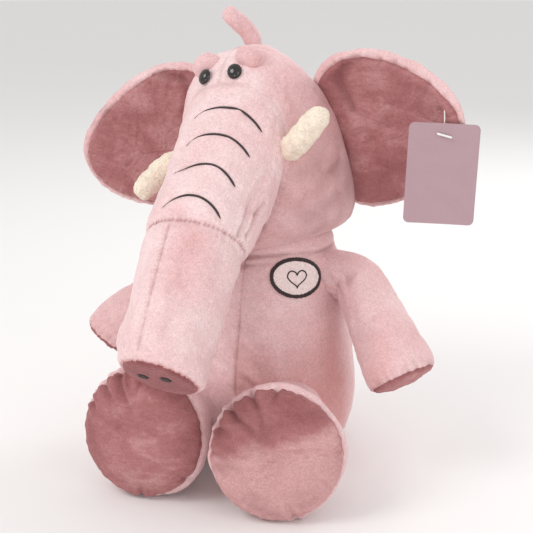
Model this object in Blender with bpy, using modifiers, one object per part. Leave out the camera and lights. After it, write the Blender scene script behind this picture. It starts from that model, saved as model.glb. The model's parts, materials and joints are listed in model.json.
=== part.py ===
"""Seated stuffed elephant: sewn pile-fabric skins round fibre filling, safety eyes, embroidery and a hang tag.

Metres, +Z up. It faces -Y, its left side is at +X, and it sits on Z = 0 with the origin under its body.
"""

from math import cos, pi, radians, sin

import bmesh
import bpy
from mathutils import Euler, Matrix, Vector

# Driving dimensions
SKIN = 0.0015  # pile fabric with its backing
GAP = 0.0005  # clearance between neighbouring pieces
FILLING_INSET = SKIN + 2 * GAP  # from a skin's outer face to its filling
SEAM_DEG = 1.2  # how much of a turn each sewn seam leaves open

BODY_PROFILE = [(0.0455, 0.0), (0.059, 0.010), (0.065, 0.030), (0.066, 0.055), (0.063, 0.085), (0.057, 0.115),
                (0.051, 0.144), (0.043, 0.163), (0.028, 0.1725), (0.008, 0.175)]
BASE_RADIUS = 0.0432

NECK = Vector((0, 0, 0.180))
HEAD_YAW, HEAD_ROLL = radians(-4), radians(-12)
HEAD_PROFILE = [(0.036, 0.001), (0.052, 0.004), (0.065, 0.016), (0.069, 0.036), (0.067, 0.062),
                (0.062, 0.092), (0.054, 0.118), (0.040, 0.140), (0.020, 0.152), (0.006, 0.1545)]

TRUNK_PIVOT = Vector((0, -0.1257, 0.0175))  # in the head's frame, at the seam across the trunk
MUZZLE_TILT = radians(-56.6)
MUZZLE_LENGTH, MUZZLE_RADIUS, MUZZLE_ROOT_RADIUS = 0.140, 0.0385, 0.0528
TRUNK_TILT, TRUNK_SWAY = radians(-41), radians(3)
TRUNK_LENGTH, TRUNK_BALL, SOCKET_CLEARANCE = 0.108, 0.034, 0.0012
TRUNK_PROFILE = [(0.037, -0.026), (0.0368, -0.055), (0.0352, -0.085), (0.0340, -0.100), (0.0325, -TRUNK_LENGTH)]
TIP_PAD_RADIUS, TIP_PAD_THICKNESS = 0.0322, 0.0052
NOSTRIL_OUT, NOSTRIL_FORWARD, NOSTRIL_RADIUS, NOSTRIL_HEIGHT = 0.010, -0.006, 0.0036, 0.0008

EYE_RADIUS, EYE_HEIGHT, SHANK_RADIUS, SHANK_LENGTH = 0.0058, 0.0036, 0.0021, 0.0085
EYE_UP, EYE_TURN = 0.137, 18.0  # height above the neck, and degrees from the front
EYE_ABOVE = 0.0012  # the dome rides on the pile
WASHER_RADIUS, WASHER_THICKNESS, WASHER_PLAY = 0.0058, 0.0012, 0.0003
WRINKLES_UP = (0.101, 0.074, 0.044, 0.011)
WRINKLE_FROM, WRINKLE_TO, WRINKLE_RADIUS = -12.0, 58.0, 0.0009  # degrees round the muzzle
WRINKLE_SAG, WRINKLE_STEPS, WRINKLE_ABOVE = 0.010, 8, 0.0004

BROW_UP, BROW_TURN, BROW_RADIUS, BROW_ABOVE = 0.146, 33, 0.0115, 0.0024
TUSK_LENGTH, TUSK_RADIUS, TUSK_BALL, TUSK_UP, TUSK_CLEARANCE = 0.046, 0.0115, 0.0107, 0.072, 0.0015
TUSK_TURN = {"left": 50, "right": -50}  # degrees from the front
TUSK_AIM = {"left": Vector((0.80, -0.25, 0.52)), "right": Vector((-0.55, -0.50, -0.52))}
TUFT_SEAT, TUFT_RADIUS = Vector((0.002, 0.018, 0.1565)), 0.0070
TUFT_ROUTE = [(0, 0, 0), (0, 0, 0.007), (0, -0.002, 0.014), (-0.003, -0.007, 0.020), (-0.008, -0.014, 0.0245),
              (-0.013, -0.021, 0.027), (-0.016, -0.025, 0.0275)]
TUFT_TAPER = [1.0, 1.0, 0.98, 0.97, 0.92, 0.72, 0.35]

EAR_THICKNESS, EAR_FORWARD, EAR_LEAN = 0.0022, radians(12), radians(8)
LINING_INSET, LINING_SHARE = 0.006, 0.92  # the lining is smaller than the back by these
# In the head's frame, at the middle of each sewn edge
EAR_ROOTS = {"left": Vector((0.0665, 0.027, 0.070)), "right": Vector((-0.0665, 0.027, 0.088))}
EAR_OUTLINE = [(0.002, 0.0), (0.000, 0.028), (-0.007, 0.048), (0.004, 0.063), (0.032, 0.066), (0.060, 0.056),
               (0.086, 0.038), (0.107, 0.018), (0.118, -0.008), (0.112, -0.034), (0.090, -0.053),
               (0.058, -0.063), (0.018, -0.067), (-0.007, -0.056), (0.000, -0.028)]

SHOULDER = Vector((0.0725, 0.0, 0.148))
ARM_DIRECTION = Vector((0.0595, -0.050, -0.065))
ARM_PROFILE = [(0.0, 0.020), (0.0100, 0.0173), (0.0173, 0.0100), (0.020, 0.0), (0.0218, -0.028),
               (0.0250, -0.058), (0.0285, -0.082), (0.0270, -0.097)]
HAND_PAD_RADIUS, PAD_THICKNESS = 0.0262, 0.0040

HIPS = {"left": Vector((0.045, -0.088, 0.0412)), "right": Vector((-0.047, -0.087, 0.0412))}
LEG_YAW = {"left": radians(19), "right": radians(3)}  # towards +X
LEG_RISE = radians(8)
LEG_PROFILE = [(0.0, 0.030), (0.015, 0.026), (0.026, 0.015), (0.030, 0.0), (0.0330, -0.020), (0.0400, -0.038),
               (0.0485, -0.053), (0.0502, -0.064), (0.0475, -0.073)]
SOLE_RADIUS, SOLE_THICKNESS = 0.0467, 0.0050

TAIL_ROOT, TAIL_DIRECTION = Vector((0, 0.0720, 0.066)), Vector((0, 0.24, -0.97))
TAIL_PROFILE = [(0.0, 0.005), (0.004, 0.004), (0.0050, 0.0), (0.0050, -0.026), (0.0075, -0.034),
                (0.0065, -0.044), (0.0, -0.047)]

PATCH_TURN, PATCH_HEIGHT = radians(42), 0.154
PATCH_HALF_WIDTH, PATCH_HALF_HEIGHT, BORDER_WIDTH, PATCH_LEAN = 0.0220, 0.0165, 0.0030, radians(-8)
PATCH_BAND, PATCH_BAND_FROM = 68, 0.080  # the degrees and lowest height of the body that it is cut from
PATCH_DEPTH = 0.058  # from the body's axis to the cutters' middle
FELT_FACES, BORDER_FACES, MOTIF_FACES = (0.0003, 0.0013), (0.0003, 0.0019), (0.0016, 0.0022)  # above the skin
HEART_OUTER, HEART_INNER = 0.0085, 0.0070

TAG_WIDTH, TAG_HEIGHT, TAG_THICKNESS = 0.054, 0.078, 0.0006
TAG_YAW, TAG_STANDOFF, TAG_DROP = radians(20), 0.016, 0.012
TAG_HOLE_DEPTH, FILAMENT_RADIUS, HOLE_RADIUS = 0.009, 0.0005, 0.0013
PUNCTURE = (0.098, -0.004)  # on the left ear, out from its sewn edge and up
BAR_RADIUS, BAR_HALF_LENGTH, BACK_BAR_HALF_LENGTH = 0.0009, 0.0055, 0.0050
BAR_BEHIND, BAR_BEFORE, KNEE_BEHIND = 0.0105, 0.0022, 0.004  # from the ear, and from the card's face
OFF_LINE = 0.00001  # keeps the fastener's rods from sharing an edge, which a union can't join

SIDES = (("left", 1), ("right", -1))

# Colours as red, green, blue and then roughness
FINISHES = {
    "skin_pile": (0.72, 0.50, 0.50, 0.90),
    "mauve_pile": (0.36, 0.13, 0.14, 0.92),
    "fleece": (0.90, 0.80, 0.68, 0.95),
    "filling": (0.93, 0.93, 0.92, 0.95),
    "eye_plastic": (0.02, 0.012, 0.012, 0.12),
    "washer_plastic": (0.85, 0.85, 0.83, 0.45),
    "embroidery": (0.05, 0.02, 0.02, 0.55),
    "patch_felt": (0.86, 0.74, 0.72, 0.85),
    "card": (0.52, 0.35, 0.39, 0.70),
    "nylon": (0.90, 0.90, 0.90, 0.30),
}


def clear_scene():
    for obj in list(bpy.data.objects):
        bpy.data.objects.remove(obj, do_unlink=True)


def make_collection(name):
    collection = bpy.data.collections.new(name)
    bpy.context.scene.collection.children.link(collection)
    return collection


clear_scene()
ELEPHANT = make_collection("stuffed_elephant")
CUTTERS = make_collection("cutters")


def finish_material(name, finish):
    red, green, blue, roughness = FINISHES[finish]
    material = bpy.data.materials.new(f"{name}_{finish}")
    material.use_nodes = True
    shader = material.node_tree.nodes["Principled BSDF"]
    shader.inputs["Base Color"].default_value = (red, green, blue, 1)
    shader.inputs["Roughness"].default_value = roughness
    shader.inputs["Metallic"].default_value = 0.0
    material.diffuse_color = (red, green, blue, 1)
    return material


def frame(name, parent=None, place=(0, 0, 0), turn=(0, 0, 0)):
    """An empty on a joint's axis. Pieces that move together hang from it."""
    empty = bpy.data.objects.new(name, None)
    empty.empty_display_size = 0.02
    empty.location = place
    empty.rotation_euler = turn
    empty.parent = parent
    ELEPHANT.objects.link(empty)
    bpy.context.view_layer.update()
    return empty


def add(name, data, finish, parent=None, place=(0, 0, 0), turn=(0, 0, 0)):
    """A visible piece, or a hidden cutter where finish is None."""
    obj = bpy.data.objects.new(name, data)
    obj.location = place
    obj.rotation_euler = turn
    obj.parent = parent
    if finish is None:
        CUTTERS.objects.link(obj)
        obj.hide_render = True
        obj.display_type = "WIRE"
    else:
        ELEPHANT.objects.link(obj)
        obj.data.materials.append(finish_material(name, finish))
    bpy.context.view_layer.update()
    return obj


def inset(profile, depth):
    """The profile moved inwards by depth along its normals. Its points run up the outer side or down it."""
    points = [Vector(p) for p in profile]
    upward = points[-1].y > points[0].y
    moved = []
    for i, point in enumerate(points):
        before = points[max(i - 1, 0)]
        after = points[min(i + 1, len(points) - 1)]
        along = (after - before).normalized() if upward else (before - after).normalized()
        outward = Vector((along.y, -along.x))
        inner = point - outward * depth
        moved.append((max(inner.x, 0.0), inner.y))
    return moved


def profile_mesh(name, profile):
    """A line of points at +X that runs from top to bottom, ready for a Screw."""
    points = profile if profile[0][1] >= profile[-1][1] else profile[::-1]
    mesh = bpy.data.meshes.new(name)
    mesh.from_pydata([(r, 0, z) for r, z in points], [(i, i + 1) for i in range(len(points) - 1)], [])
    return mesh


def add_screw(obj, steps, sweep=2 * pi):
    screw = obj.modifiers.new("Turn", "SCREW")
    screw.angle = sweep
    screw.steps = screw.render_steps = steps
    screw.use_merge_vertices = True
    screw.merge_threshold = 0.00005
    screw.use_smooth_shade = True
    return screw


def add_solidify(obj, thickness, offset=-1.0):
    shell = obj.modifiers.new("Thickness", "SOLIDIFY")
    shell.thickness = thickness
    shell.offset = offset
    return shell


def add_boolean(obj, operation, other):
    cut = obj.modifiers.new(f"{operation.title()} {other.name}", "BOOLEAN")
    cut.operation = operation
    cut.object = other
    cut.solver = "EXACT"
    return cut


def turned(name, profile, finish, parent=None, place=(0, 0, 0), turn=(0, 0, 0), steps=20):
    """A solid of revolution about its own Z, closed at its ends."""
    first, last = profile[0], profile[-1]
    closed = [(0.0, first[1])] * (first[0] > 0) + list(profile) + [(0.0, last[1])] * (last[0] > 0)
    obj = add(name, profile_mesh(name, closed), finish, parent, place, turn)
    add_screw(obj, steps)
    return obj


def turned_shell(name, profile, finish, parent=None, place=(0, 0, 0), turn=(0, 0, 0), steps=20, sweep=2 * pi):
    """A turned skin of even thickness, open where its profile stops short of the axis."""
    obj = add(name, profile_mesh(name, profile), finish, parent, place, turn)
    add_screw(obj, steps, sweep)
    add_solidify(obj, SKIN)
    return obj


def half_shells(stem, profile, finish, parent=None, turn=(0, 0, 0), steps=12):
    """Two skins that meet at a front seam and a back seam: the left one is at +X."""
    sweep = pi - radians(SEAM_DEG)
    start = {"left": -pi / 2, "right": pi / 2}
    halves = {}
    for side, _ in SIDES:
        about = Euler(turn).to_matrix() @ Matrix.Rotation(start[side] + radians(SEAM_DEG / 2), 3, "Z")
        halves[side] = turned_shell(
            f"{stem}_{side}", profile, finish, parent, turn=about.to_euler(), steps=steps, sweep=sweep
        )
    return halves


def pointing(direction):
    """The turn that takes a frame's own -Z to the direction."""
    return Vector(direction).to_track_quat("-Z", "Y").to_euler()


def rod_mesh(name, start, end, radius, sides=10):
    start, end = Vector(start), Vector(end)
    axis = end - start
    mesh = bpy.data.meshes.new(name)
    bm = bmesh.new()
    place = Matrix.Translation((start + end) / 2) @ axis.to_track_quat("Z", "Y").to_matrix().to_4x4()
    bmesh.ops.create_cone(bm, cap_ends=True, segments=sides, radius1=radius, radius2=radius, depth=axis.length,
                          matrix=place)
    bm.to_mesh(mesh)
    bm.free()
    return mesh


def ball_mesh(name, radius, segments=24, rings=12):
    mesh = bpy.data.meshes.new(name)
    bm = bmesh.new()
    bmesh.ops.create_uvsphere(bm, u_segments=segments, v_segments=rings, radius=radius)
    bm.to_mesh(mesh)
    bm.free()
    return mesh


def box_mesh(name, size, centre):
    mesh = bpy.data.meshes.new(name)
    bm = bmesh.new()
    place = Matrix.Translation(centre) @ Matrix.Diagonal((*size, 1))
    bmesh.ops.create_cube(bm, size=1, matrix=place)
    bm.to_mesh(mesh)
    bm.free()
    return mesh


def curve_as_mesh(curve_obj):
    """The curve's evaluated solid as a mesh object of the same name, with its caps welded."""
    graph = bpy.context.evaluated_depsgraph_get()
    mesh = bpy.data.meshes.new_from_object(curve_obj.evaluated_get(graph))
    bm = bmesh.new()
    bm.from_mesh(mesh)
    bmesh.ops.remove_doubles(bm, verts=bm.verts, dist=0.000001)
    bmesh.ops.recalc_face_normals(bm, faces=bm.faces)
    bm.to_mesh(mesh)
    bm.free()
    name, collections = curve_obj.name, list(curve_obj.users_collection)
    solid = bpy.data.objects.new(name + "_mesh", mesh)
    for collection in collections:
        collection.objects.link(solid)
    solid.parent = curve_obj.parent
    solid.matrix_world = curve_obj.matrix_world
    solid.hide_render = curve_obj.hide_render
    solid.display_type = curve_obj.display_type
    bpy.data.objects.remove(curve_obj, do_unlink=True)
    solid.name = name
    bpy.context.view_layer.update()
    return solid


def outline_curve(name, points, thickness):
    """A flat closed outline in the curve's XY plane, through the points, of the given thickness."""
    curve = bpy.data.curves.new(name, "CURVE")
    curve.dimensions = "2D"
    curve.fill_mode = "BOTH"
    curve.extrude = thickness / 2
    curve.resolution_u = 3
    spline = curve.splines.new("BEZIER")
    spline.bezier_points.add(len(points) - 1)
    for bezier, (x, y) in zip(spline.bezier_points, points):
        bezier.co = (x, y, 0)
        bezier.handle_left_type = bezier.handle_right_type = "AUTO"
    spline.use_cyclic_u = True
    return curve


def tube_curve(name, points, radius, radii=None, resolution=2):
    curve = bpy.data.curves.new(name, "CURVE")
    curve.dimensions = "3D"
    curve.bevel_depth = radius
    curve.bevel_resolution = resolution
    curve.use_fill_caps = True
    spline = curve.splines.new("POLY")
    spline.points.add(len(points) - 1)
    for i, (point, at) in enumerate(zip(spline.points, points)):
        point.co = (*at, 1)
        point.radius = radii[i] if radii else 1.0
    return curve


# Body: two panels on a round base panel, around one mass of filling

def build_body():
    half_shells("body_skin", BODY_PROFILE, "skin_pile", steps=12)
    base_profile = [(BASE_RADIUS, SKIN), (BASE_RADIUS, 0.0)]
    turned("body_base_panel", base_profile, "skin_pile", steps=24)
    filling = inset(BODY_PROFILE, FILLING_INSET)
    filling[0] = (filling[1][0] - 0.012, FILLING_INSET)
    turned("body_filling", filling, "filling", steps=20)


def patch_layer(name, outline, faces, finish, hole=None):
    """A piece of the chest patch: a band of the body's outer shape, cut to the outline seen square on."""
    low, high = faces
    outer = inset([p for p in BODY_PROFILE if p[1] > PATCH_BAND_FROM], -high)
    start = PATCH_TURN - radians(90 + PATCH_BAND / 2)
    obj = add(name, profile_mesh(name, outer), finish, turn=(0, 0, start))
    add_screw(obj, 14, radians(PATCH_BAND))
    add_solidify(obj, high - low)
    for operation, shape in (("INTERSECT", outline), ("DIFFERENCE", hole)):
        if shape is not None:
            add_boolean(obj, operation, shape)
    return obj


def patch_cutter(name, points, depth=0.08):
    """A prism along the patch's direction. Its outline is given across and up."""
    curve = outline_curve(name, points, depth)
    centre = Vector((sin(PATCH_TURN), -cos(PATCH_TURN), 0)) * PATCH_DEPTH + Vector((0, 0, PATCH_HEIGHT))
    turn = Euler((radians(90), 0, PATCH_TURN))
    return curve_as_mesh(add(name, curve, None, place=centre, turn=turn))


def ellipse(half_width, half_height, count=16, lean=PATCH_LEAN):
    points = []
    for i in range(count):
        a = 2 * pi * i / count
        x, y = half_width * cos(a), half_height * sin(a)
        points.append((x * cos(lean) - y * sin(lean), x * sin(lean) + y * cos(lean)))
    return points


def heart(size, count=20):
    points = []
    for i in range(count):
        a = 2 * pi * (i + 0.5) / count
        x = 16 * sin(a) ** 3
        y = 13 * cos(a) - 5 * cos(2 * a) - 2 * cos(3 * a) - cos(4 * a)
        points.append((size * x / 17, size * y / 17))
    return points


def build_patch():
    inner_width, inner_height = PATCH_HALF_WIDTH - BORDER_WIDTH, PATCH_HALF_HEIGHT - BORDER_WIDTH
    inside = patch_cutter("patch_inside", ellipse(inner_width, inner_height))
    around = patch_cutter("border_inside", ellipse(inner_width + GAP, inner_height + GAP))
    outside = patch_cutter("border_outside", ellipse(PATCH_HALF_WIDTH, PATCH_HALF_HEIGHT))
    motif = patch_cutter("motif_outside", heart(HEART_OUTER))
    motif_hole = patch_cutter("motif_inside", heart(HEART_INNER))
    patch_layer("patch_felt", inside, FELT_FACES, "patch_felt")
    patch_layer("patch_border_stitching", outside, BORDER_FACES, "embroidery", around)
    patch_layer("patch_motif_stitching", motif, MOTIF_FACES, "embroidery", motif_hole)


# Head: two side panels and the muzzle panel, around filling that runs into the muzzle

def muzzle_radius(up):
    return MUZZLE_RADIUS + (MUZZLE_ROOT_RADIUS - MUZZLE_RADIUS) * up / MUZZLE_LENGTH


def muzzle_point(up, angle_deg, above=0.0):
    """A point on the muzzle in its own frame: up from the trunk's pivot, and round from its top towards +X."""
    radius = muzzle_radius(up) + above
    return Vector((radius * sin(radians(angle_deg)), -radius * cos(radians(angle_deg)), up))


def head_surface(up, turn_deg, above=0.0):
    """A point on the head in its own frame, turned from the front towards +X, and its outward direction."""
    around = Matrix.Rotation(radians(turn_deg), 3, "Z")
    for (r0, z0), (r1, z1) in zip(HEAD_PROFILE, HEAD_PROFILE[1:]):
        if z0 <= up <= z1:
            radius = r0 + (r1 - r0) * (up - z0) / (z1 - z0)
            outward = around @ Vector((0, z0 - z1, r0 - r1)).normalized()
            return around @ Vector((0, -radius, up)) + outward * above, outward
    raise ValueError(f"{up} is off the head")


def build_head(head, muzzle, trunk):
    skins = half_shells("head_skin", HEAD_PROFILE, "skin_pile", head, steps=12)
    muzzle_profile = [(muzzle_radius(up), up) for up in (-0.016, 0.030, 0.075, 0.118, MUZZLE_LENGTH)]
    muzzle_outer = turned("muzzle_outer", inset(muzzle_profile, -GAP), None, muzzle)
    head_outer = turned("head_outer", inset(HEAD_PROFILE, -GAP), None, head)
    # Everything past the trunk's seam, seen in the trunk's own frame, belongs to the trunk
    past_seam = add("past_seam", box_mesh("past_seam", (0.2, 0.2, 0.1), (0, 0, -0.049)), None, trunk)
    socket = add("trunk_socket", ball_mesh("trunk_socket", TRUNK_BALL + SOCKET_CLEARANCE), None, trunk)
    for skin in skins.values():
        add_boolean(skin, "DIFFERENCE", muzzle_outer)
    panel = turned_shell("muzzle_skin", muzzle_profile, "skin_pile", muzzle, steps=24)
    add_boolean(panel, "DIFFERENCE", head_outer)
    add_boolean(panel, "DIFFERENCE", past_seam)
    filling = turned("head_filling", inset(HEAD_PROFILE, FILLING_INSET), "filling", head, steps=20)
    muzzle_inner = turned("muzzle_inner", inset(muzzle_profile, FILLING_INSET)[:4], None, muzzle, steps=20)
    add_boolean(filling, "UNION", muzzle_inner)
    add_boolean(filling, "DIFFERENCE", past_seam)
    add_boolean(filling, "DIFFERENCE", socket)
    return skins, filling


def build_eyes(head, skins, filling):
    dome = [(0.0, EYE_HEIGHT), (EYE_RADIUS * 0.5, EYE_HEIGHT * 0.87), (EYE_RADIUS * 0.87, EYE_HEIGHT * 0.5),
            (EYE_RADIUS, 0.0003), (SHANK_RADIUS, 0.0), (SHANK_RADIUS, -SHANK_LENGTH), (0.0, -SHANK_LENGTH)]
    for side, sign in SIDES:
        place, outward = head_surface(EYE_UP, sign * EYE_TURN, EYE_ABOVE)
        turn = pointing(-outward)
        turned(f"eye_{side}", dome, "eye_plastic", head, place, turn, steps=16)
        bore, top = SHANK_RADIUS + WASHER_PLAY, -(SKIN + EYE_ABOVE + GAP + WASHER_THICKNESS)
        bottom = top - WASHER_THICKNESS
        washer = [(bore, top), (WASHER_RADIUS, top), (WASHER_RADIUS, bottom), (bore, bottom), (bore, top)]
        ring = add(f"eye_washer_{side}", profile_mesh("washer", washer), "washer_plastic", head, place, turn)
        add_screw(ring, 16)
        hole_profile = [(SHANK_RADIUS + GAP, 0.01), (SHANK_RADIUS + GAP, -0.014)]
        hole = turned(f"eye_hole_{side}", hole_profile, None, head, place, turn, steps=12)
        pocket_profile = [(WASHER_RADIUS + GAP, 0.02), (WASHER_RADIUS + GAP, -SHANK_LENGTH - 2 * GAP)]
        pocket = turned(f"eye_pocket_{side}", pocket_profile, None, head, place, turn, steps=16)
        add_boolean(skins[side], "DIFFERENCE", hole)
        add_boolean(filling, "DIFFERENCE", pocket)


def build_wrinkles(muzzle):
    for number, up in enumerate(WRINKLES_UP, start=1):
        points, radii = [], []
        for step in range(WRINKLE_STEPS + 1):
            share = step / WRINKLE_STEPS
            angle = WRINKLE_FROM + (WRINKLE_TO - WRINKLE_FROM) * share
            sag = WRINKLE_SAG * (2 * share - 1) ** 2
            points.append(muzzle_point(up - sag, angle, WRINKLE_RADIUS + WRINKLE_ABOVE))
            radii.append(0.55 + 0.45 * sin(pi * share))
        curve = tube_curve(f"wrinkle_stitching_{number}", points, WRINKLE_RADIUS, radii)
        add(f"wrinkle_stitching_{number}", curve, "embroidery", muzzle)


def build_brows(head):
    arc = [(BROW_RADIUS * sin(radians(a)), BROW_RADIUS * cos(radians(a))) for a in (25, 50, 75)]
    dome = [(0.0, BROW_RADIUS), *arc, (BROW_RADIUS, 0.0), (0.0, 0.0)]
    for side, sign in SIDES:
        seat, outward = head_surface(BROW_UP, sign * BROW_TURN, BROW_ABOVE)
        turned(f"brow_bump_{side}", dome, "skin_pile", head, seat, pointing(-outward), steps=16)


def build_tusks(head):
    ball = [(TUSK_BALL * sin(radians(a)), TUSK_BALL * cos(radians(a))) for a in (0, 30, 60, 90)]
    taper = [(TUSK_RADIUS * 0.86, -0.033), (TUSK_RADIUS * 0.55, -0.042), (0.0, -TUSK_LENGTH)]
    stub = [(TUSK_RADIUS, -0.018), *taper]
    for side, _ in SIDES:
        seat, _ = head_surface(TUSK_UP, TUSK_TURN[side], TUSK_BALL + TUSK_CLEARANCE)
        pose = frame(f"tusk_pose_{side}", head, seat, pointing(TUSK_AIM[side]))
        turned(f"tusk_{side}", ball + stub, "fleece", pose, steps=14)


def build_tuft(head):
    pose = frame("tuft_pose", head, TUFT_SEAT)
    add("hair_tuft", tube_curve("hair_tuft", TUFT_ROUTE, TUFT_RADIUS, TUFT_TAPER, 3), "skin_pile", pose)


# Trunk: two panels with a front seam, an end pad with two nostrils, and a ball of filling in the muzzle's end

def build_trunk(trunk):
    crown = [(TRUNK_BALL * sin(radians(a)), TRUNK_BALL * cos(radians(a))) for a in (20, 36, 54, 72, 90, 112)]
    profile = crown + TRUNK_PROFILE
    half_shells("trunk_skin", profile, "skin_pile", trunk, steps=12)
    turned("trunk_filling", inset(profile, FILLING_INSET), "filling", trunk, steps=20)
    top, bottom = -TRUNK_LENGTH - GAP, -TRUNK_LENGTH - TIP_PAD_THICKNESS
    pad = [(0.0, top), (TIP_PAD_RADIUS - 0.0004, top), (TIP_PAD_RADIUS, top - 0.0015), (0.0285, bottom + 0.001),
           (0.0, bottom)]
    turned("trunk_tip_pad", pad, "mauve_pile", trunk, steps=24)
    top = bottom - 0.0002
    low = top - NOSTRIL_HEIGHT
    disc = [(0.0, top), (NOSTRIL_RADIUS, top), (NOSTRIL_RADIUS, low), (0.0, low - 0.0002)]
    for side, sign in SIDES:
        turned(f"nostril_{side}", disc, "embroidery", trunk, (sign * NOSTRIL_OUT, NOSTRIL_FORWARD, 0), steps=10)


# Ears: a back panel and a lining, sewn round their edge

def mirrored(outline, sign):
    """The outline on its side of the head, in the order that keeps its face outwards."""
    points = [(sign * u, v) for u, v in outline]
    return points if sign > 0 else points[::-1]


def build_ears(head):
    middle = EAR_OUTLINE[5][0]
    lining = [(u + (LINING_INSET if u < middle else -LINING_INSET), v * LINING_SHARE) for u, v in EAR_OUTLINE]
    layers = (
        ("ear_back", EAR_OUTLINE, (EAR_THICKNESS + GAP) / 2, "skin_pile"),
        ("ear_lining", lining, -(EAR_THICKNESS + GAP) / 2, "mauve_pile"),
    )
    ears = {}
    for side, sign in SIDES:
        turn = Matrix.Rotation(-sign * EAR_FORWARD, 3, "Z") @ Matrix.Rotation(-sign * EAR_LEAN, 3, "Y")
        pose = frame(f"ear_pose_{side}", head, EAR_ROOTS[side], turn.to_euler())
        for name, outline, layer, finish in layers:
            curve = outline_curve(f"{name}_{side}", mirrored(outline, sign), EAR_THICKNESS)
            panel = add(f"{name}_{side}", curve, finish, pose, (0, layer, 0), (radians(90), 0, 0))
            ears[name, side] = curve_as_mesh(panel)
        ears[side] = pose
    return ears


# Limbs: a ball-ended sleeve of skin, open at its far end, closed there by a pad

def build_limb(stem, side, pivot, direction, profile, pad_name, pad_radius, pad_thickness):
    pose = frame(f"{stem}_pose_{side}", None, pivot, pointing(direction))
    turned_shell(f"{stem}_skin_{side}", profile, "skin_pile", pose, steps=20)
    turned(f"{stem}_filling_{side}", inset(profile, FILLING_INSET), "filling", pose, steps=20)
    end = profile[-1][1] - GAP
    pad = [(0.0, end), (pad_radius, end), (pad_radius, end - pad_thickness * 0.5),
           (pad_radius * 0.88, end - pad_thickness * 0.9), (0.0, end - pad_thickness)]
    turned(f"{pad_name}_{side}", pad, "mauve_pile", pose, steps=20)


def build_limbs():
    for side, sign in SIDES:
        shoulder = Vector((sign * SHOULDER.x, SHOULDER.y, SHOULDER.z))
        along = Vector((sign * ARM_DIRECTION.x, ARM_DIRECTION.y, ARM_DIRECTION.z))
        build_limb("arm", side, shoulder, along, ARM_PROFILE, "hand_pad", HAND_PAD_RADIUS, PAD_THICKNESS)
        yaw = LEG_YAW[side]
        forward = Vector((sin(yaw) * cos(LEG_RISE), -cos(yaw) * cos(LEG_RISE), sin(LEG_RISE)))
        build_limb("leg", side, HIPS[side], forward, LEG_PROFILE, "sole_pad", SOLE_RADIUS, SOLE_THICKNESS)


def build_tail():
    pose = frame("tail_pose", None, TAIL_ROOT, pointing(TAIL_DIRECTION))
    turned("tail", TAIL_PROFILE, "skin_pile", pose, steps=12)


# Hang tag: a card on a moulded fastener that goes through the left ear

def build_tag(ears):
    puncture = ears["left"].matrix_world @ Vector((PUNCTURE[0], 0, PUNCTURE[1]))
    pose = frame("tag_pose", None, puncture, (0, 0, TAG_YAW))
    for layer in ("ear_back", "ear_lining"):
        hole = add(f"{layer}_hole", rod_mesh("hole", (0, -0.03, 0), (0, 0.03, 0), HOLE_RADIUS), None, pose)
        add_boolean(ears[layer, "left"], "DIFFERENCE", hole)
    card_y, hole_z = -TAG_STANDOFF, -TAG_DROP - TAG_HOLE_DEPTH
    centre = Vector((0, card_y, -TAG_DROP - TAG_HEIGHT / 2))
    card = add("tag_card", box_mesh("tag_card", (TAG_WIDTH, TAG_THICKNESS, TAG_HEIGHT), centre), "card", pose)
    ends = (0, card_y - 0.01, hole_z), (0, card_y + 0.01, hole_z)
    hole = add("tag_hole", rod_mesh("tag_hole", *ends, HOLE_RADIUS), None, pose)
    add_boolean(card, "DIFFERENCE", hole)

    back, front, knee = BAR_BEHIND, card_y - BAR_BEFORE, card_y + KNEE_BEHIND
    through_ear = rod_mesh("tag_fastener", (0, back, 0), (0, knee, 0), FILAMENT_RADIUS, 8)
    fastener = add("tag_fastener", through_ear, "nylon", pose)
    pieces = [
        ((3 * OFF_LINE, knee, 0.0006), (3 * OFF_LINE, knee, hole_z - 0.0006), FILAMENT_RADIUS * 1.15),
        ((OFF_LINE, knee + 0.0007, hole_z), (OFF_LINE, front, hole_z), FILAMENT_RADIUS * 0.95),
        ((-BAR_HALF_LENGTH, front, hole_z + 0.001), (BAR_HALF_LENGTH, front, hole_z - 0.001), BAR_RADIUS),
        ((-BACK_BAR_HALF_LENGTH, back, 0.002), (BACK_BAR_HALF_LENGTH, back, -0.002), BAR_RADIUS),
    ]
    for number, (start, end, radius) in enumerate(pieces, start=1):
        part = add(f"fastener_part_{number}", rod_mesh("part", start, end, radius, 8), None, pose)
        add_boolean(fastener, "UNION", part)


build_body()
build_patch()
HEAD = frame("head_pose", None, NECK, (0, HEAD_ROLL, HEAD_YAW))
MUZZLE = frame("muzzle_frame", HEAD, TRUNK_PIVOT, (MUZZLE_TILT, 0, 0))
TRUNK = frame("trunk_pose", HEAD, TRUNK_PIVOT, (TRUNK_TILT, TRUNK_SWAY, 0))
HEAD_SKINS, HEAD_FILLING = build_head(HEAD, MUZZLE, TRUNK)
build_eyes(HEAD, HEAD_SKINS, HEAD_FILLING)
build_wrinkles(MUZZLE)
build_brows(HEAD)
build_tusks(HEAD)
build_tuft(HEAD)
build_trunk(TRUNK)
EARS = build_ears(HEAD)
build_limbs()
build_tail()
build_tag(EARS)
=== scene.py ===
"""Looks of a seated stuffed elephant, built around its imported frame.

Metres, +Z up, the elephant faces -Y and its left side is at +X. Every stuffed part starts as a closed shape
in its joint's own frame, is inflated as cloth that its seams hold back, and is then parted into its panels.
"""

import json
from math import cos, pi, radians, sin, sqrt

import bmesh
import bpy
import numpy as np
from mathutils import Euler, Matrix, Vector
from mathutils.bvhtree import BVHTree
from mathutils.geometry import delaunay_2d_cdt


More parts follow.
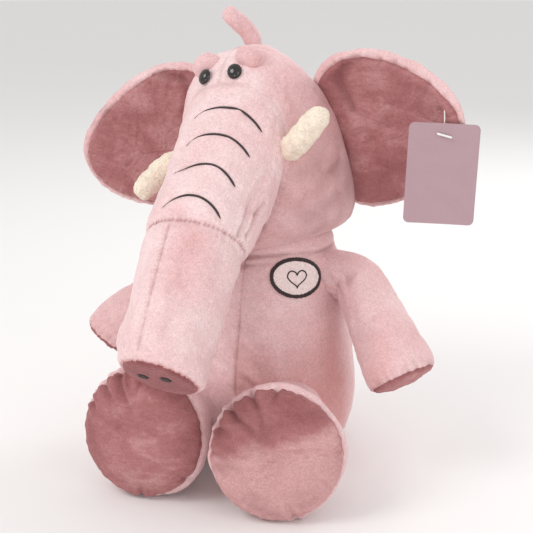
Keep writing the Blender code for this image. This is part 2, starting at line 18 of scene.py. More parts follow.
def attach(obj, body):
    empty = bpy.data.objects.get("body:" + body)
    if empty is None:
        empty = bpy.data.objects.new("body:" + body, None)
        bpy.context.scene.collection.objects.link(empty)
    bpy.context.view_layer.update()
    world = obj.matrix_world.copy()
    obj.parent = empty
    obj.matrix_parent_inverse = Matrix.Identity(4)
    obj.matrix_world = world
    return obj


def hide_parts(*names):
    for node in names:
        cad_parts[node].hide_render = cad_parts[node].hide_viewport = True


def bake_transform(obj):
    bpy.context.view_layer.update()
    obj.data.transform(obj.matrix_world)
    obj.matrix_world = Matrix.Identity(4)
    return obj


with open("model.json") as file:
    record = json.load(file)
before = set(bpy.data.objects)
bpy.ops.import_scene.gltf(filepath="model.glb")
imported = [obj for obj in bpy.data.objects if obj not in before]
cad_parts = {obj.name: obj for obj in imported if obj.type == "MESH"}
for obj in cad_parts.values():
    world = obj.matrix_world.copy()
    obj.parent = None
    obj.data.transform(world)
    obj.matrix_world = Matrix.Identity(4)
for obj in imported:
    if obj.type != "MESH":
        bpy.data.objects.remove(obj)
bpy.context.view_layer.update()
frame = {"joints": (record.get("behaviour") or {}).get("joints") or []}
JOINTS = {joint["name"]: joint for joint in frame["joints"]}
SIDES = (("left", 1), ("right", -1))

# The frames that the parts are drawn in, each on its joint
HEAD_YAW, HEAD_ROLL = radians(-4), radians(-12)
MUZZLE_TILT, TRUNK_TILT, TRUNK_SWAY = radians(-56.6), radians(-41), radians(3)
EAR_FORWARD, EAR_LEAN = radians(12), radians(8)
TUSK_AIM = {"left": Vector((0.80, -0.25, 0.52)), "right": Vector((-0.55, -0.50, -0.52))}
TUSK_LENGTH = {"left": 0.0430, "right": 0.0375}
ARM_AIM = Vector((0.0595, -0.050, -0.065))
LEG_YAW, LEG_RISE = {"left": radians(19), "right": radians(3)}, radians(8)
TAIL_AIM = Vector((0, 0.24, -0.97))
TAG_YAW = radians(20)

# Folds in the soles: turn from the top, reach inwards, depth, width
SOLE_FOLDS = [(-58, 0.010, 0.0016, 0.0016), (-34, 0.015, 0.0030, 0.0019), (-12, 0.022, 0.0044, 0.0021),
              (9, 0.019, 0.0040, 0.0020), (31, 0.013, 0.0026, 0.0018), (150, 0.010, 0.0014, 0.0018),
              (196, 0.012, 0.0016, 0.0018)]
BODY_TURN = radians(-8)  # the body's seam lies this far round from the middle

# Outlines as radius and height, in the frame of the part
BODY_PROFILE = [(0.0, 0.0010), (0.030, 0.0008), (0.0435, 0.0012), (0.0455, 0.0022), (0.0600, 0.0075),
                (0.0660, 0.028), (0.0668, 0.055), (0.0635, 0.085), (0.0580, 0.115), (0.0535, 0.142),
                (0.0515, 0.158),
                (0.0500, 0.170), (0.0480, 0.180), (0.0430, 0.187), (0.0, 0.189)]
HEAD_PROFILE = [(0.0, -0.006), (0.034, -0.006), (0.0560, -0.004), (0.0685, 0.008), (0.0712, 0.034),
                (0.0690, 0.062), (0.0635, 0.092), (0.0555, 0.118), (0.0415, 0.1410), (0.0205, 0.1545),
                (0.0, 0.1570)]
MUZZLE_RADIUS, MUZZLE_ROOT_RADIUS, MUZZLE_LENGTH = 0.0390, 0.0532, 0.140
TRUNK_PROFILE = [(0.0, 0.016), (0.033, 0.016), (0.0368, 0.006), (0.0378, -0.006), (0.0378, -0.030),
                 (0.0375, -0.055), (0.0360, -0.085), (0.0348, -0.1010), (0.0328, -0.1080),
                 (0.0285, -0.1115), (0.0140, -0.1122),
                 (0.0, -0.1124)]
ARM_STATIONS = [(0.0205, 0.0), (0.0225, -0.020), (0.0250, -0.050), (0.0288, -0.080), (0.0284, -0.0945),
                (0.0262, -0.0990), (0.0235, -0.1010), (0.0120, -0.1022), (0.0, -0.1026)]
LEG_STATIONS = [(0.0320, 0.0), (0.0345, -0.020), (0.0420, -0.038), (0.0495, -0.053), (0.0512, -0.0630),
                (0.0508, -0.0685), (0.0488, -0.0730), (0.0435, -0.0775), (0.0335, -0.0810), (0.0180, -0.0828),
                (0.0, -0.0832)]
TRUNK_PAD_RADIUS, HAND_PAD_RADIUS, SOLE_RADIUS = 0.0290, 0.0262, 0.0500
HAND_EDGE, SOLE_EDGE = -0.0985, -0.0700  # where the pads' seams lie along the limbs

PATCH_TURN, PATCH_HEIGHT, PATCH_LEAN = radians(42), 0.154, radians(-8)
PATCH_HALF_WIDTH, PATCH_HALF_HEIGHT, BORDER_RADIUS = 0.0205, 0.0150, 0.0016
# Folds in the muzzle: places as height and turn, depth, width
MUZZLE_FOLDS = [([(0.060, 83), (0.040, 80), (0.020, 82), (0.002, 88)], 0.0026, 0.0019),
                ([(0.044, 97), (0.026, 94), (0.008, 98)], 0.0030, 0.0019)]
WRINKLES_UP, WRINKLE_FROM, WRINKLE_TO = (0.101, 0.074, 0.044, 0.011), -12.0, 58.0
CHEEK_FOLD = [(0.0640, -0.020, 0.046), (0.0670, -0.012, 0.0475), (0.0680, -0.004, 0.0505), (0.0670, 0.003, 0.055)]
JAW_FOLD = [(0.0640, 0.010, 0.018), (0.0655, 0.000, 0.026), (0.0670, -0.010, 0.030)]
TAG_WIDTH, TAG_HEIGHT, TAG_THICKNESS = 0.054, 0.078, 0.0006
TAG_STANDOFF, TAG_DROP, TAG_HOLE_DEPTH = 0.016, 0.0085, 0.009
TAG_LEAN = radians(2.2)
TIP_SLANT = 0.11  # how much longer the trunk is on its left, for each metre across
EYE_RADIUS, BROW_SLOPE = 0.0060, radians(48)

GRID = 0.0030  # spacing of the simulated cloth's points; one subdivision halves it
CLOTH_FRAMES = 16
CLOTH_CAP = 0.0030  # how far the cloth may move

# Colours, linear
SKIN_LIGHT, SKIN_MID, SKIN_DEEP = (0.86, 0.69, 0.695), (0.755, 0.50, 0.505), (0.66, 0.34, 0.33)
MAUVE_LIGHT, MAUVE_MID, MAUVE_DEEP = (0.60, 0.34, 0.34), (0.40, 0.165, 0.168), (0.245, 0.080, 0.085)
FLEECE_LIGHT, FLEECE_MID, FLEECE_DEEP = (0.93, 0.86, 0.72), (0.90, 0.80, 0.66), (0.72, 0.60, 0.52)
FELT, THREAD, CARD, CARD_EDGE = (0.82, 0.70, 0.68), (0.022, 0.010, 0.011), (0.41, 0.272, 0.303), (0.62, 0.49, 0.49)
SEAM_PINK = (0.56, 0.33, 0.33)
EYE_BLACK, NYLON, STAGE_WHITE = (0.012, 0.007, 0.008), (0.80, 0.80, 0.78), (0.86, 0.855, 0.85)


def placed(at=(0, 0, 0), turn=(0, 0, 0)):
    return Matrix.Translation(at) @ Euler(turn).to_matrix().to_4x4()


def pivot(joint):
    return Vector(JOINTS[joint]["pos_m"])


def aimed(at, direction):
    """A frame whose own -Z points along the direction."""
    return Matrix.Translation(at) @ Vector(direction).to_track_quat("-Z", "Y").to_matrix().to_4x4()


HEAD = placed(pivot("head_turn"), (0, HEAD_ROLL, HEAD_YAW))
TRUNK_SEAT = HEAD.inverted() @ pivot("trunk_lift")
MUZZLE = HEAD @ placed(TRUNK_SEAT, (MUZZLE_TILT, 0, 0))
TRUNK = HEAD @ placed(TRUNK_SEAT, (TRUNK_TILT, TRUNK_SWAY, 0))
ROOT = Matrix.Identity(4)
BODY = placed((0, 0, 0), (0, 0, BODY_TURN))


# Numbers on arrays of points

def apply_matrix(matrix, points):
    m = np.array(matrix, float)
    return points @ m[:3, :3].T + m[:3, 3]


def points_in(to_row, obj):
    """The object's points in a part's own frame."""
    return apply_matrix(to_row.inverted(), co_of(obj.data))


def off_axis(points):
    return np.hypot(points[:, 0], points[:, 1])


def looped(points):
    return np.vstack([points, points[:1]])


def corner_cut(points, rounds=2, closed=False):
    """The line with its corners rounded off, through Chaikin's scheme. Open ends stay where they are."""
    points = np.array(points, float)
    for _ in range(rounds):
        a, b = (points, np.roll(points, -1, 0)) if closed else (points[:-1], points[1:])
        cut = np.stack([0.75 * a + 0.25 * b, 0.25 * a + 0.75 * b], 1).reshape(-1, points.shape[1])
        points = cut if closed else np.vstack([points[:1], cut, points[-1:]])
    return points


def resampled(points, count, closed=False):
    if closed:
        points = looped(points)
    steps = np.r_[0, np.cumsum(np.linalg.norm(np.diff(points, axis=0), axis=1))]
    at = np.linspace(0, steps[-1], count + closed)[:count]
    return np.stack([np.interp(at, steps, column) for column in points.T], 1)


def length_of(points):
    return np.linalg.norm(np.diff(points, axis=0), axis=1).sum()


def smooth_step(x, low, high):
    t = np.clip((x - low) / (high - low), 0, 1)
    return t * t * (3 - 2 * t)


def waves(points, size, seed, count=14):
    """Smooth noise from -1 to 1: a sum of sine waves in seeded directions, size metres long."""
    draw = np.random.default_rng(seed)
    directions = draw.normal(size=(count, points.shape[1]))
    directions /= np.linalg.norm(directions, axis=1)[:, None]
    lengths = size * draw.uniform(0.7, 1.6, count)
    phases = draw.uniform(0, 2 * pi, count)
    total = np.sin(points @ (directions * (2 * pi / lengths)[:, None]).T + phases).sum(1)
    return np.clip(total / (0.9 * count ** 0.5), -1.6, 1.6) / 1.6


def ripple(along, pitch, seed):
    """Irregular ridges along a seam, from 0 to 1."""
    draw = np.random.default_rng(seed)
    total = sum(np.sin(2 * pi * along / (pitch * f) + draw.uniform(0, 2 * pi)) for f in (0.71, 1.0, 1.37, 2.1))
    return np.clip(0.5 + 0.28 * total, 0, 1)


def lumps(points, *layers):
    """A sum of smooth noises, each given as its height, size and seed."""
    return sum(height * waves(points, size, seed) for height, size, seed in layers)


def ridge(distance, height, width, at=0.0):
    """A rounded ridge that runs this far from a line."""
    return height * np.exp(-(((distance - at) / width) ** 2))


def groove(distance, depth, width):
    return -ridge(distance, depth, width)


def seam(distance, along, seed, depth=0.0016, width=0.0016, pucker=0.0009, reach=0.007, pitch=0.0065):
    """What a sewn seam does to the cloth beside it: it sinks, and gathers into short folds across the line."""
    folds = pucker * ripple(along, pitch, seed) * np.exp(-distance / reach)
    return groove(distance, depth, width) - folds


def near_path(points, path):
    """(distance, length along) from each point to the nearest point of a path."""
    path = resampled(np.array(path, float), max(8, int(length_of(np.array(path, float)) / 0.001)))
    along = np.r_[0, np.cumsum(np.linalg.norm(np.diff(path, axis=0), axis=1))]
    distance = np.full(len(points), 1e9)
    where = np.zeros(len(points))
    for start in range(0, len(points), 20000):
        part = points[start:start + 20000]
        gap = np.linalg.norm(part[:, None, :] - path[None, :, :], axis=2)
        nearest = gap.argmin(1)
        distance[start:start + 20000] = gap[np.arange(len(part)), nearest]
        where[start:start + 20000] = along[nearest]
    return distance, where


def radius_at(profile, heights):
    """A turned outline's radius at these heights. Its flat ends are left out."""
    ordered = sorted(profile, key=lambda p: p[1])
    return np.interp(heights, [z for _, z in ordered], [r for r, _ in ordered])


# Meshes

def new_object(name, mesh):
    obj = bpy.data.objects.new(name, mesh)
    bpy.context.scene.collection.objects.link(obj)
    return obj


def co_of(mesh):
    co = np.zeros(len(mesh.vertices) * 3)
    mesh.vertices.foreach_get("co", co)
    return co.reshape(-1, 3)


def set_co(mesh, co):
    mesh.vertices.foreach_set("co", np.ascontiguousarray(co, np.float32).ravel())
    mesh.update()


def normals_of(mesh):
    normals = np.zeros(len(mesh.vertices) * 3)
    mesh.vertex_normals.foreach_get("vector", normals)
    return normals.reshape(-1, 3)


def smooth_shaded(mesh):
    mesh.polygons.foreach_set("use_smooth", [True] * len(mesh.polygons))
    mesh.update()


def mesh_from(bm, name):
    """A smooth mesh with what bm holds. It frees bm."""
    mesh = bpy.data.meshes.new(name)
    bm.to_mesh(mesh)
    bm.free()
    smooth_shaded(mesh)
    return mesh


def merged(name, objects):
    """One object in place of several."""
    bm = bmesh.new()
    for obj in objects:
        bm.from_mesh(obj.data)
        bpy.data.objects.remove(obj)
    return new_object(name, mesh_from(bm, name))


def rings_of(stations, columns, front, spacing=GRID):
    """Rings round stations of x, y, z and radius, with column 0 towards front."""
    stations = corner_cut(stations, 2)
    stations = resampled(stations, max(6, int(length_of(stations) / spacing)))
    centres, radii = stations[:, :3], stations[:, 3]
    tangents = np.gradient(centres, axis=0)
    lengths = np.linalg.norm(tangents, axis=1)
    moving = np.flatnonzero(lengths > 0.25 * spacing)
    nearest = moving[np.abs(np.arange(len(centres))[:, None] - moving[None, :]).argmin(1)]
    tangents = tangents[nearest] / lengths[nearest][:, None]
    front = np.array(front, float)
    first = front - (tangents @ front)[:, None] * tangents
    first /= np.linalg.norm(first, axis=1)[:, None]
    second = np.cross(tangents, first)
    angles = 2 * pi * np.arange(columns) / columns
    spokes = first[:, None] * np.cos(angles)[None, :, None] + second[:, None] * np.sin(angles)[None, :, None]
    return centres[:, None] + spokes * radii[:, None, None]


def ring_object(name, rings, to_row=ROOT, closed=True):
    """A closed mesh over rings. An end ring that has shrunk to a point becomes one vertex."""
    columns = rings.shape[1]
    bm = bmesh.new()
    grid = [[bm.verts.new(p) for p in row] for row in rings]
    for lower, upper in zip(grid, grid[1:]):
        for i in range(columns):
            bm.faces.new((lower[i], lower[(i + 1) % columns], upper[(i + 1) % columns], upper[i]))
    if closed:
        for end in (grid[0], grid[-1]):
            centre = bm.verts.new(sum((v.co for v in end), Vector()) / columns)
            for i in range(columns):
                bm.faces.new((end[i], end[(i + 1) % columns], centre))
    bmesh.ops.remove_doubles(bm, verts=bm.verts, dist=0.00002)
    bmesh.ops.recalc_face_normals(bm, faces=bm.faces)
    mesh = mesh_from(bm, name)
    mesh.transform(to_row)
    mesh.update()
    return new_object(name, mesh)


def swept(name, line, to_row, columns, spacing=0.0016, front=(0, -1, 0)):
    """A closed shape over stations of x, y, z and radius."""
    return ring_object(name, rings_of(line, columns, front, spacing), to_row)


def turned(name, profile, to_row, columns, spacing=GRID):
    """A closed turned shape about its own Z."""
    return swept(name, [(0, 0, z, r) for r, z in profile], to_row, columns, spacing)


def evaluated_mesh(obj):
    graph = bpy.context.evaluated_depsgraph_get()
    return bpy.data.meshes.new_from_object(obj.evaluated_get(graph))


def bake_modifiers(obj):
    """The object's own mesh becomes what its modifiers make of it."""
    mesh = evaluated_mesh(obj)
    obj.modifiers.clear()
    old = obj.data
    obj.data = mesh
    bpy.data.meshes.remove(old)
    smooth_shaded(obj.data)
    return obj


def subdivided(obj):
    modifier = obj.modifiers.new("Subdivision", "SUBSURF")
    modifier.levels = modifier.render_levels = 1
    modifier.use_limit_surface = False
    return bake_modifiers(obj)


def voxel_joined(name, solids, voxel, smoothing):
    """One skin over several closed shapes."""
    obj = merged(name, solids)
    remesh = obj.modifiers.new("Remesh", "REMESH")
    remesh.mode, remesh.voxel_size, remesh.use_smooth_shade = "VOXEL", voxel, True
    smooth = obj.modifiers.new("Smooth", "SMOOTH")
    smooth.factor, smooth.iterations = 0.5, smoothing
    return bake_modifiers(obj)


def set_panels(obj, panel_of):
    """Marks each face with a panel number, from its centre."""
    centres = np.zeros(len(obj.data.polygons) * 3)
    obj.data.polygons.foreach_get("center", centres)
    write_panels(obj, panel_of(centres.reshape(-1, 3)))


def write_panels(obj, numbers):
    attribute = obj.data.attributes.new("panel", "INT", "FACE")
    attribute.data.foreach_set("value", np.asarray(numbers, np.int32))


def panels_of(obj):
    numbers = np.zeros(len(obj.data.polygons), np.int32)
    obj.data.attributes["panel"].data.foreach_get("value", numbers)
    return numbers


def part_panels(obj, names):
    """Splits the object by panel number. Neighbours keep the same points along their seam."""
    numbers = panels_of(obj)
    pieces = {}
    for number, name in enumerate(names):
        bm = bmesh.new()
        bm.from_mesh(obj.data)
        others = [face for face, at in zip(bm.faces, numbers) if at != number]
        bmesh.ops.delete(bm, geom=others, context="FACES")
        pieces[name] = new_object(name, mesh_from(bm, name))
    bpy.data.objects.remove(obj)
    return pieces


def sculpt(obj, to_row, relief, floor=None):
    """Moves points along their normals by relief(points in the part's frame), and notes how deep each fold sinks,
    for painted shade.
    """
    depth = relief(points_in(to_row, obj))
    co = co_of(obj.data) + normals_of(obj.data) * depth[:, None]
    if floor is not None:
        co[:, 2] = np.maximum(co[:, 2], floor)
    set_co(obj.data, co)
    # Fold depth from 0 to 1, which the pile paints as shade in the folds.
    write_attribute(obj, "crease_shade", np.clip((-depth - 0.0006) / 0.0022, 0, 1))


def write_attribute(obj, name, values):
    attribute = obj.data.attributes.get(name) or obj.data.attributes.new(name, "FLOAT", "POINT")
    attribute.data.foreach_set("value", np.asarray(values, np.float32))


def even_middle(obj, to_row, across, centre, reach, on_side):
    """Replaces the crowded middle of a fan of faces by an even net of triangles at the same depth.

    across are the two axes over the face, and on_side(points) says which points are on the side that changes.
    """
    p = points_in(to_row, obj)
    depth_axis = 3 - sum(across)
    flat = p[:, list(across)] - centre
    inner = (np.hypot(*flat.T) < reach) & on_side(p)
    bm = bmesh.new()
    bm.from_mesh(obj.data)
    bm.verts.ensure_lookup_table()
    panel = bm.faces.layers.int.get("panel")
    doomed = [face for face in bm.faces if any(inner[vert.index] for vert in face.verts)]
    among = set(doomed)
    number = doomed[0][panel]
    follows = {}
    for face in doomed:
        for loop in face.loops:
            if loop.link_loop_radial_next.face not in among:
                follows[loop.vert.index] = loop.link_loop_next.vert.index
    ring = [next(iter(follows))]
    while follows[ring[-1]] != ring[0]:
        ring.append(follows[ring[-1]])
    edge = flat[ring]
    turn = np.arctan2(edge[:, 1], edge[:, 0])
    order = np.argsort(turn)
    step = NET_SPACING
    half = reach * 1.3
    rows, places = np.arange(-half, half, step * sqrt(3) / 2), np.arange(-half, half, step)
    net = np.array([(u + step / 2 * (row % 2), v) for row, v in enumerate(rows) for u in places])
    limit = np.interp(np.arctan2(net[:, 1], net[:, 0]), turn[order], np.hypot(*edge[order].T), period=2 * pi)
    net = net[np.hypot(*net.T) < limit - 0.6 * step]
    corners = [Vector(point) for point in np.vstack([edge, net])]
    _, _, faces, origins, _, _ = delaunay_2d_cdt(corners, [], [list(range(len(ring)))], 1, 0.000001)
    on = on_side(p)
    near = np.exp(-np.sum((net[:, None] - flat[None, on]) ** 2, 2) / (0.8 * step) ** 2)
    depth = near @ p[on, depth_axis] / near.sum(1)
    points = np.zeros((len(net), 3))
    points[:, list(across)] = net + centre
    points[:, depth_axis] = depth
    verts = [bm.verts[index] for index in ring] + [bm.verts.new(at) for at in apply_matrix(to_row, points)]
    bmesh.ops.delete(bm, geom=doomed, context="FACES")
    for face in faces:
        made = bm.faces.new([verts[origins[index][0]] for index in face])
        made[panel] = number
    bmesh.ops.delete(bm, geom=[vert for vert in bm.verts if not vert.link_faces], context="VERTS")
    bmesh.ops.recalc_face_normals(bm, faces=bm.faces)
    bm.to_mesh(obj.data)
    bm.free()
    smooth_shaded(obj.data)


# Cloth: pressure swells each part, and its seams are pinned

def add_cloth(obj, held):
    """held is how firmly each point is pinned, from 0 to 1."""
    group = obj.vertex_groups.new(name="held")
    for index, weight in enumerate(held):
        group.add([index], float(weight), "REPLACE")
    cloth = obj.modifiers.new("Cloth", "CLOTH").settings
    cloth.vertex_group_mass = "held"
    cloth.quality = 4
    cloth.mass = 0.15
    cloth.tension_stiffness = cloth.compression_stiffness = 12
    cloth.shear_stiffness = 4
    cloth.bending_stiffness = 0.35
    cloth.shrink_min = -0.035
    cloth.use_pressure = True
    cloth.uniform_pressure_force = 4
    cloth.effector_weights.gravity = 0


def simulate(objects):
    """Runs every cloth together, caps how far each point moved, and makes the result each object's mesh."""
    scene = bpy.context.scene
    rest = {obj.name: co_of(obj.data) for obj in objects}
    for number in range(1, CLOTH_FRAMES + 1):
        scene.frame_set(number)
    for obj in objects:
        bake_modifiers(obj)
        obj.vertex_groups.clear()
        moved = co_of(obj.data) - rest[obj.name]
        far = np.linalg.norm(moved, axis=1)[:, None]
        set_co(obj.data, rest[obj.name] + moved * CLOTH_CAP / np.maximum(far + CLOTH_CAP, 1e-9))
    scene.frame_set(1)


# Materials

class Look:
    """A material and short ways to add nodes to it. An input takes a number, a colour or another node's output."""

    def __init__(self, name):
        self.material = bpy.data.materials.new(name)
        self.material.use_nodes = True
        self.tree = self.material.node_tree
        self.shader = self.tree.nodes["Principled BSDF"]
        self.at = self.tree.nodes.new("ShaderNodeTexCoord").outputs["Object"]

    def feed(self, node, inputs):
        for key, value in inputs.items():
            socket = node.inputs[key]
            if isinstance(value, bpy.types.NodeSocket):
                self.tree.links.new(value, socket)
            elif isinstance(value, tuple) and len(socket.default_value) == 4:
                socket.default_value = (*value, 1)
            else:
                socket.default_value = value

    def add(self, kind, inputs, **settings):
        node = self.tree.nodes.new("ShaderNode" + kind)
        for key, value in settings.items():
            setattr(node, key, value)
        self.feed(node, inputs)
        return node

    def finish(self, inputs):
        self.feed(self.shader, inputs)
        return self.material

    def noise(self, scale, detail=2.0, distortion=0.0, stretch=None):
        at = self.add("Mapping", {"Vector": self.at, "Scale": stretch}).outputs["Vector"] if stretch else self.at
        inputs = {"Scale": scale, "Detail": detail, "Distortion": distortion, "Vector": at}
        return self.add("TexNoise", inputs).outputs["Fac"]

    def attribute(self, name):
        return self.add("Attribute", {}, attribute_name=name).outputs["Fac"]

    def math(self, operation, *values, clamp=False):
        return self.add("Math", dict(enumerate(values)), operation=operation, use_clamp=clamp).outputs["Value"]

    def mix(self, factor, a, b, blend="MIX"):
        return self.add("Mix", {0: factor, 6: a, 7: b}, data_type="RGBA", blend_type=blend).outputs[2]

    def bump(self, height, distance, strength, before=None):
        inputs = {"Distance": distance, "Strength": strength, "Height": height}
        return self.add("Bump", inputs | ({} if before is None else {"Normal": before})).outputs["Normal"]

    def ramp(self, factor, *stops):
        ramp = self.add("ValToRGB", {"Fac": factor})
        elements = ramp.color_ramp.elements
        while len(elements) < len(stops):
            elements.new(0.5)
        for element, (position, colour) in zip(elements, stops):
            element.position = position
            element.color = (*colour, 1)
        return ramp.outputs["Color"]


def pile(name, light, mid, deep, patch, clump, nap_height, sheen, contrast=1.0, fold_shade=0.55, stretch=None):
    """Plush cloth: brushed patches and clumps of nap in three tones, a fine grain, a per-point tone that also
    carries painted light and shade, and painted shade in the folds.
    """
    look = Look(name)
    tone_and_painted_light, crease_shade = look.attribute("tone_and_painted_light"), look.attribute("crease_shade")
    patches = look.noise(1 / patch, 2.5, 0.8, stretch)
    clumps = look.noise(1 / clump, 3.0, 0.6, stretch)
    grain = look.noise(1100, 2.0)
    nap = look.noise(420, 3.0, 1.0, stretch)
    tone = look.math("MULTIPLY_ADD", patches, 1.1 * contrast, 0.5 - 0.55 * contrast)
    clump_tone = look.math("MULTIPLY_ADD", clumps, 0.55 * contrast, -0.275 * contrast)
    # The per-point tone adds painted light and shade to the patches.
    tone = look.math("ADD", look.math("ADD", tone, clump_tone), tone_and_painted_light, clamp=True)
    colour = look.ramp(tone, (0.18, light), (0.52, mid), (0.92, deep))
    fine = look.ramp(grain, (0.30, (0.86, 0.85, 0.85)), (0.70, (1.10, 1.10, 1.10)))
    colour = look.mix(1.0, colour, fine, "MULTIPLY")
    brushed = look.ramp(nap, (0.30, (0.90, 0.89, 0.89)), (0.70, (1.07, 1.07, 1.07)))
    colour = look.mix(1.0, colour, brushed, "MULTIPLY")
    # Painted shade: the colour darkens towards a shaded deep tone in the folds, by how deep they are.
    shaded_in_folds = look.mix(look.math("MULTIPLY", crease_shade, fold_shade), colour, tuple(0.55 * c for c in deep))
    coarse = look.bump(clumps, nap_height * 2.2, 0.45)
    brushed_bump = look.bump(nap, nap_height * 1.4, 0.5, coarse)
    return look.finish({"Base Color": shaded_in_folds, "Roughness": 0.88, "Specular IOR Level": 0.18,
                        "Sheen Weight": sheen, "Sheen Roughness": 0.45, "Sheen Tint": light,
                        "Normal": look.bump(grain, nap_height, 0.5, brushed_bump)})


def thread(name, colour, pitch, height):
    """Satin stitches: fine parallel strands with a soft shine, painted paler on their crests and darker between
    them.
    """
    look = Look(name)
    inputs = {"Scale": 1 / pitch, "Distortion": 2.0, "Detail": 2.0, "Vector": look.at}
    strands = look.add("TexWave", inputs, bands_direction="DIAGONAL").outputs["Fac"]
    # Painted highlight on each strand and painted shade between strands.
    dark, pale = (tuple(share * c for c in colour) for share in (0.5, 1.9))
    return look.finish({"Base Color": look.ramp(strands, (0.2, dark), (0.8, pale)),
                        "Normal": look.bump(strands, height, 0.6), "Roughness": 0.48, "Sheen Weight": 0.15})


def hard_surface(name, colour, roughness, grain_size, grain_height, variation, coat=0.0):
    look = Look(name)
    grain, broad = look.noise(1 / grain_size, 4.0), look.noise(0.08 / grain_size, 2.0)
    low, high = (tuple(c * (1 + s * variation) for c in colour) for s in (-1, 1))
    mixed = look.math("ADD", look.math("MULTIPLY", grain, 0.5), look.math("MULTIPLY", broad, 0.5))
    return look.finish({"Base Color": look.ramp(mixed, (0.3, low), (0.7, high)),
                        "Normal": look.bump(grain, grain_height, 0.4), "Roughness": roughness,
                        "Coat Weight": coat, "Coat Roughness": 0.04})


SKIN = pile("skin_pile", SKIN_LIGHT, SKIN_MID, SKIN_DEEP, 0.065, 0.018, 0.00035, 0.55, 0.50, fold_shade=0.60)
MAUVE = pile("mauve_pile", MAUVE_LIGHT, MAUVE_MID, MAUVE_DEEP, 0.034, 0.0065, 0.0009, 0.70, 0.60, fold_shade=0.32,
             stretch=(1.0, 0.7, 1.7))
FLEECE = pile("fleece", FLEECE_LIGHT, FLEECE_MID, FLEECE_DEEP, 0.016, 0.0022, 0.0007, 0.5, 0.75)
PATCH_FELT = pile("patch_felt", FELT, FELT, SKIN_MID, 0.010, 0.0016, 0.0002, 0.3, 0.5)
EMBROIDERY = thread("embroidery", THREAD, 0.0009, 0.0002)
SEAM_THREAD = thread("seam_thread", SEAM_PINK, 0.0009, 0.0001)
EYE = hard_surface("eye_plastic", EYE_BLACK, 0.10, 0.004, 0.00001, 0.3, coat=0.35)
CARD_FACE = hard_surface("card", CARD, 0.62, 0.0009, 0.00006, 0.05)
CARD_SIDE = hard_surface("card_edge", CARD_EDGE, 0.75, 0.0006, 0.00006, 0.08)
FASTENER = hard_surface("nylon", NYLON, 0.28, 0.003, 0.00003, 0.04)


def finished(piece, material, nodes):
    """The piece's name, material and slot, and the CAD nodes that it stands for."""
    piece.name = f"{nodes[0]}_visual"
    piece.data.materials.clear()
    piece.data.materials.append(material)
    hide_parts(*nodes)
    return piece


# Camera, lights and floor

def make_stage():
    target = Vector((0, -0.02, 0.155))
    azimuth, elevation, distance = radians(24), radians(15), 1.05
    back = Vector((sin(azimuth) * cos(elevation), -cos(azimuth) * cos(elevation), sin(elevation)))
    camera = new_object("camera", bpy.data.cameras.new("camera"))
    camera.data.sensor_width, camera.data.lens = 36.0, 85.4
    camera.location = target + back * distance
    camera.rotation_euler = (-back).to_track_quat("-Z", "Y").to_euler()
    bpy.context.scene.camera = camera
    lights = (
        ("key", (-0.75, -1.15, 1.35), 0.9, 10.0, (1.0, 0.985, 0.97)),
        ("fill", (1.25, -0.75, 0.70), 1.0, 3.2, (1.0, 0.98, 0.98)),
        ("low_front", (0.25, -1.30, 0.10), 0.45, 1.8, (1.0, 1.0, 1.0)),
        ("back", (0.30, 1.20, 1.10), 1.0, 7.0, (1.0, 0.99, 0.99)),
    )
    for name, at, size, power, colour in lights:
        data = bpy.data.lights.new(name, "AREA")
        data.shape, data.size, data.energy, data.color = "DISK", size, power, colour
        light = new_object(name, data)
        light.location = at
        light.rotation_euler = (target - Vector(at)).to_track_quat("-Z", "Y").to_euler()
    world = bpy.data.worlds.new("studio")
    world.use_nodes = True
    background = world.node_tree.nodes["Background"].inputs
    background["Color"].default_value = (1.0, 0.99, 0.985, 1)
    background["Strength"].default_value = 0.80
    bpy.context.scene.world = world
    bpy.context.scene.view_settings.view_transform = "Standard"
    bm = bmesh.new()
    bmesh.ops.create_circle(bm, cap_ends=True, segments=64, radius=7.0)
    floor = new_object("floor", mesh_from(bm, "floor"))
    floor.data.materials.append(hard_surface("floor_white", STAGE_WHITE, 0.9, 0.05, 0.00002, 0.004))


make_stage()
scene_parts = []  # (object, held) for each part to simulate


def held_by(distance, reach=0.004):
    """How firmly a seam this far away holds the cloth."""
    return ridge(distance, 1, reach)


# Body

def body_seams(p):
    """(distance, along) to the front and back seam, and to the seam round the base."""
    x, y, z = p.T
    return (np.abs(x), z), (np.hypot(off_axis(p) - 0.0455, z - 0.0018), np.arctan2(y, x) * 0.045)


def body_relief(p):
    x, y, z = p.T
    middle, base = body_seams(p)
    on_side = smooth_step(z, 0.004, 0.012) * (1 - smooth_step(z, 0.172, 0.182))
    relief = on_side * lumps(p, (0.0010, 0.055, 11), (0.00035, 0.016, 12))
    relief += on_side * seam(*middle, 13, depth=0.0013, width=0.0015, pucker=0.0005, reach=0.004, pitch=0.006)
    relief += seam(*base, 14, depth=0.0008, pucker=0.0008)
    angle = np.arctan2(x, -y)
    across = (angle - (PATCH_TURN - BODY_TURN)) * 0.050
    beside_patch = smooth_step(np.hypot(across / 0.0215, (z - PATCH_HEIGHT) / 0.0165), 1.0, 1.25)
    for height, depth, width, slant in ((0.1690, 0.0034, 0.0018, 0.0040), (0.1615, 0.0020, 0.0020, 0.0075)):
        away = z - height - slant * np.sin(angle) - 0.0012 * np.sin(3 * angle)
        relief += groove(away, depth, width) * smooth_step(np.cos(angle - 0.6), -0.4, 0.6) * beside_patch
    front = smooth_step(-y, 0.010, 0.030)
    for sign in (1, -1):
        beside = x - sign * 0.045
        folds = ripple(np.arctan2(z - 0.045, beside) * 0.03, 0.011, 15 + sign)
        relief -= front * folds * ridge(np.hypot(beside, z - 0.052), 0.0016, 0.010, at=0.034)
    return relief


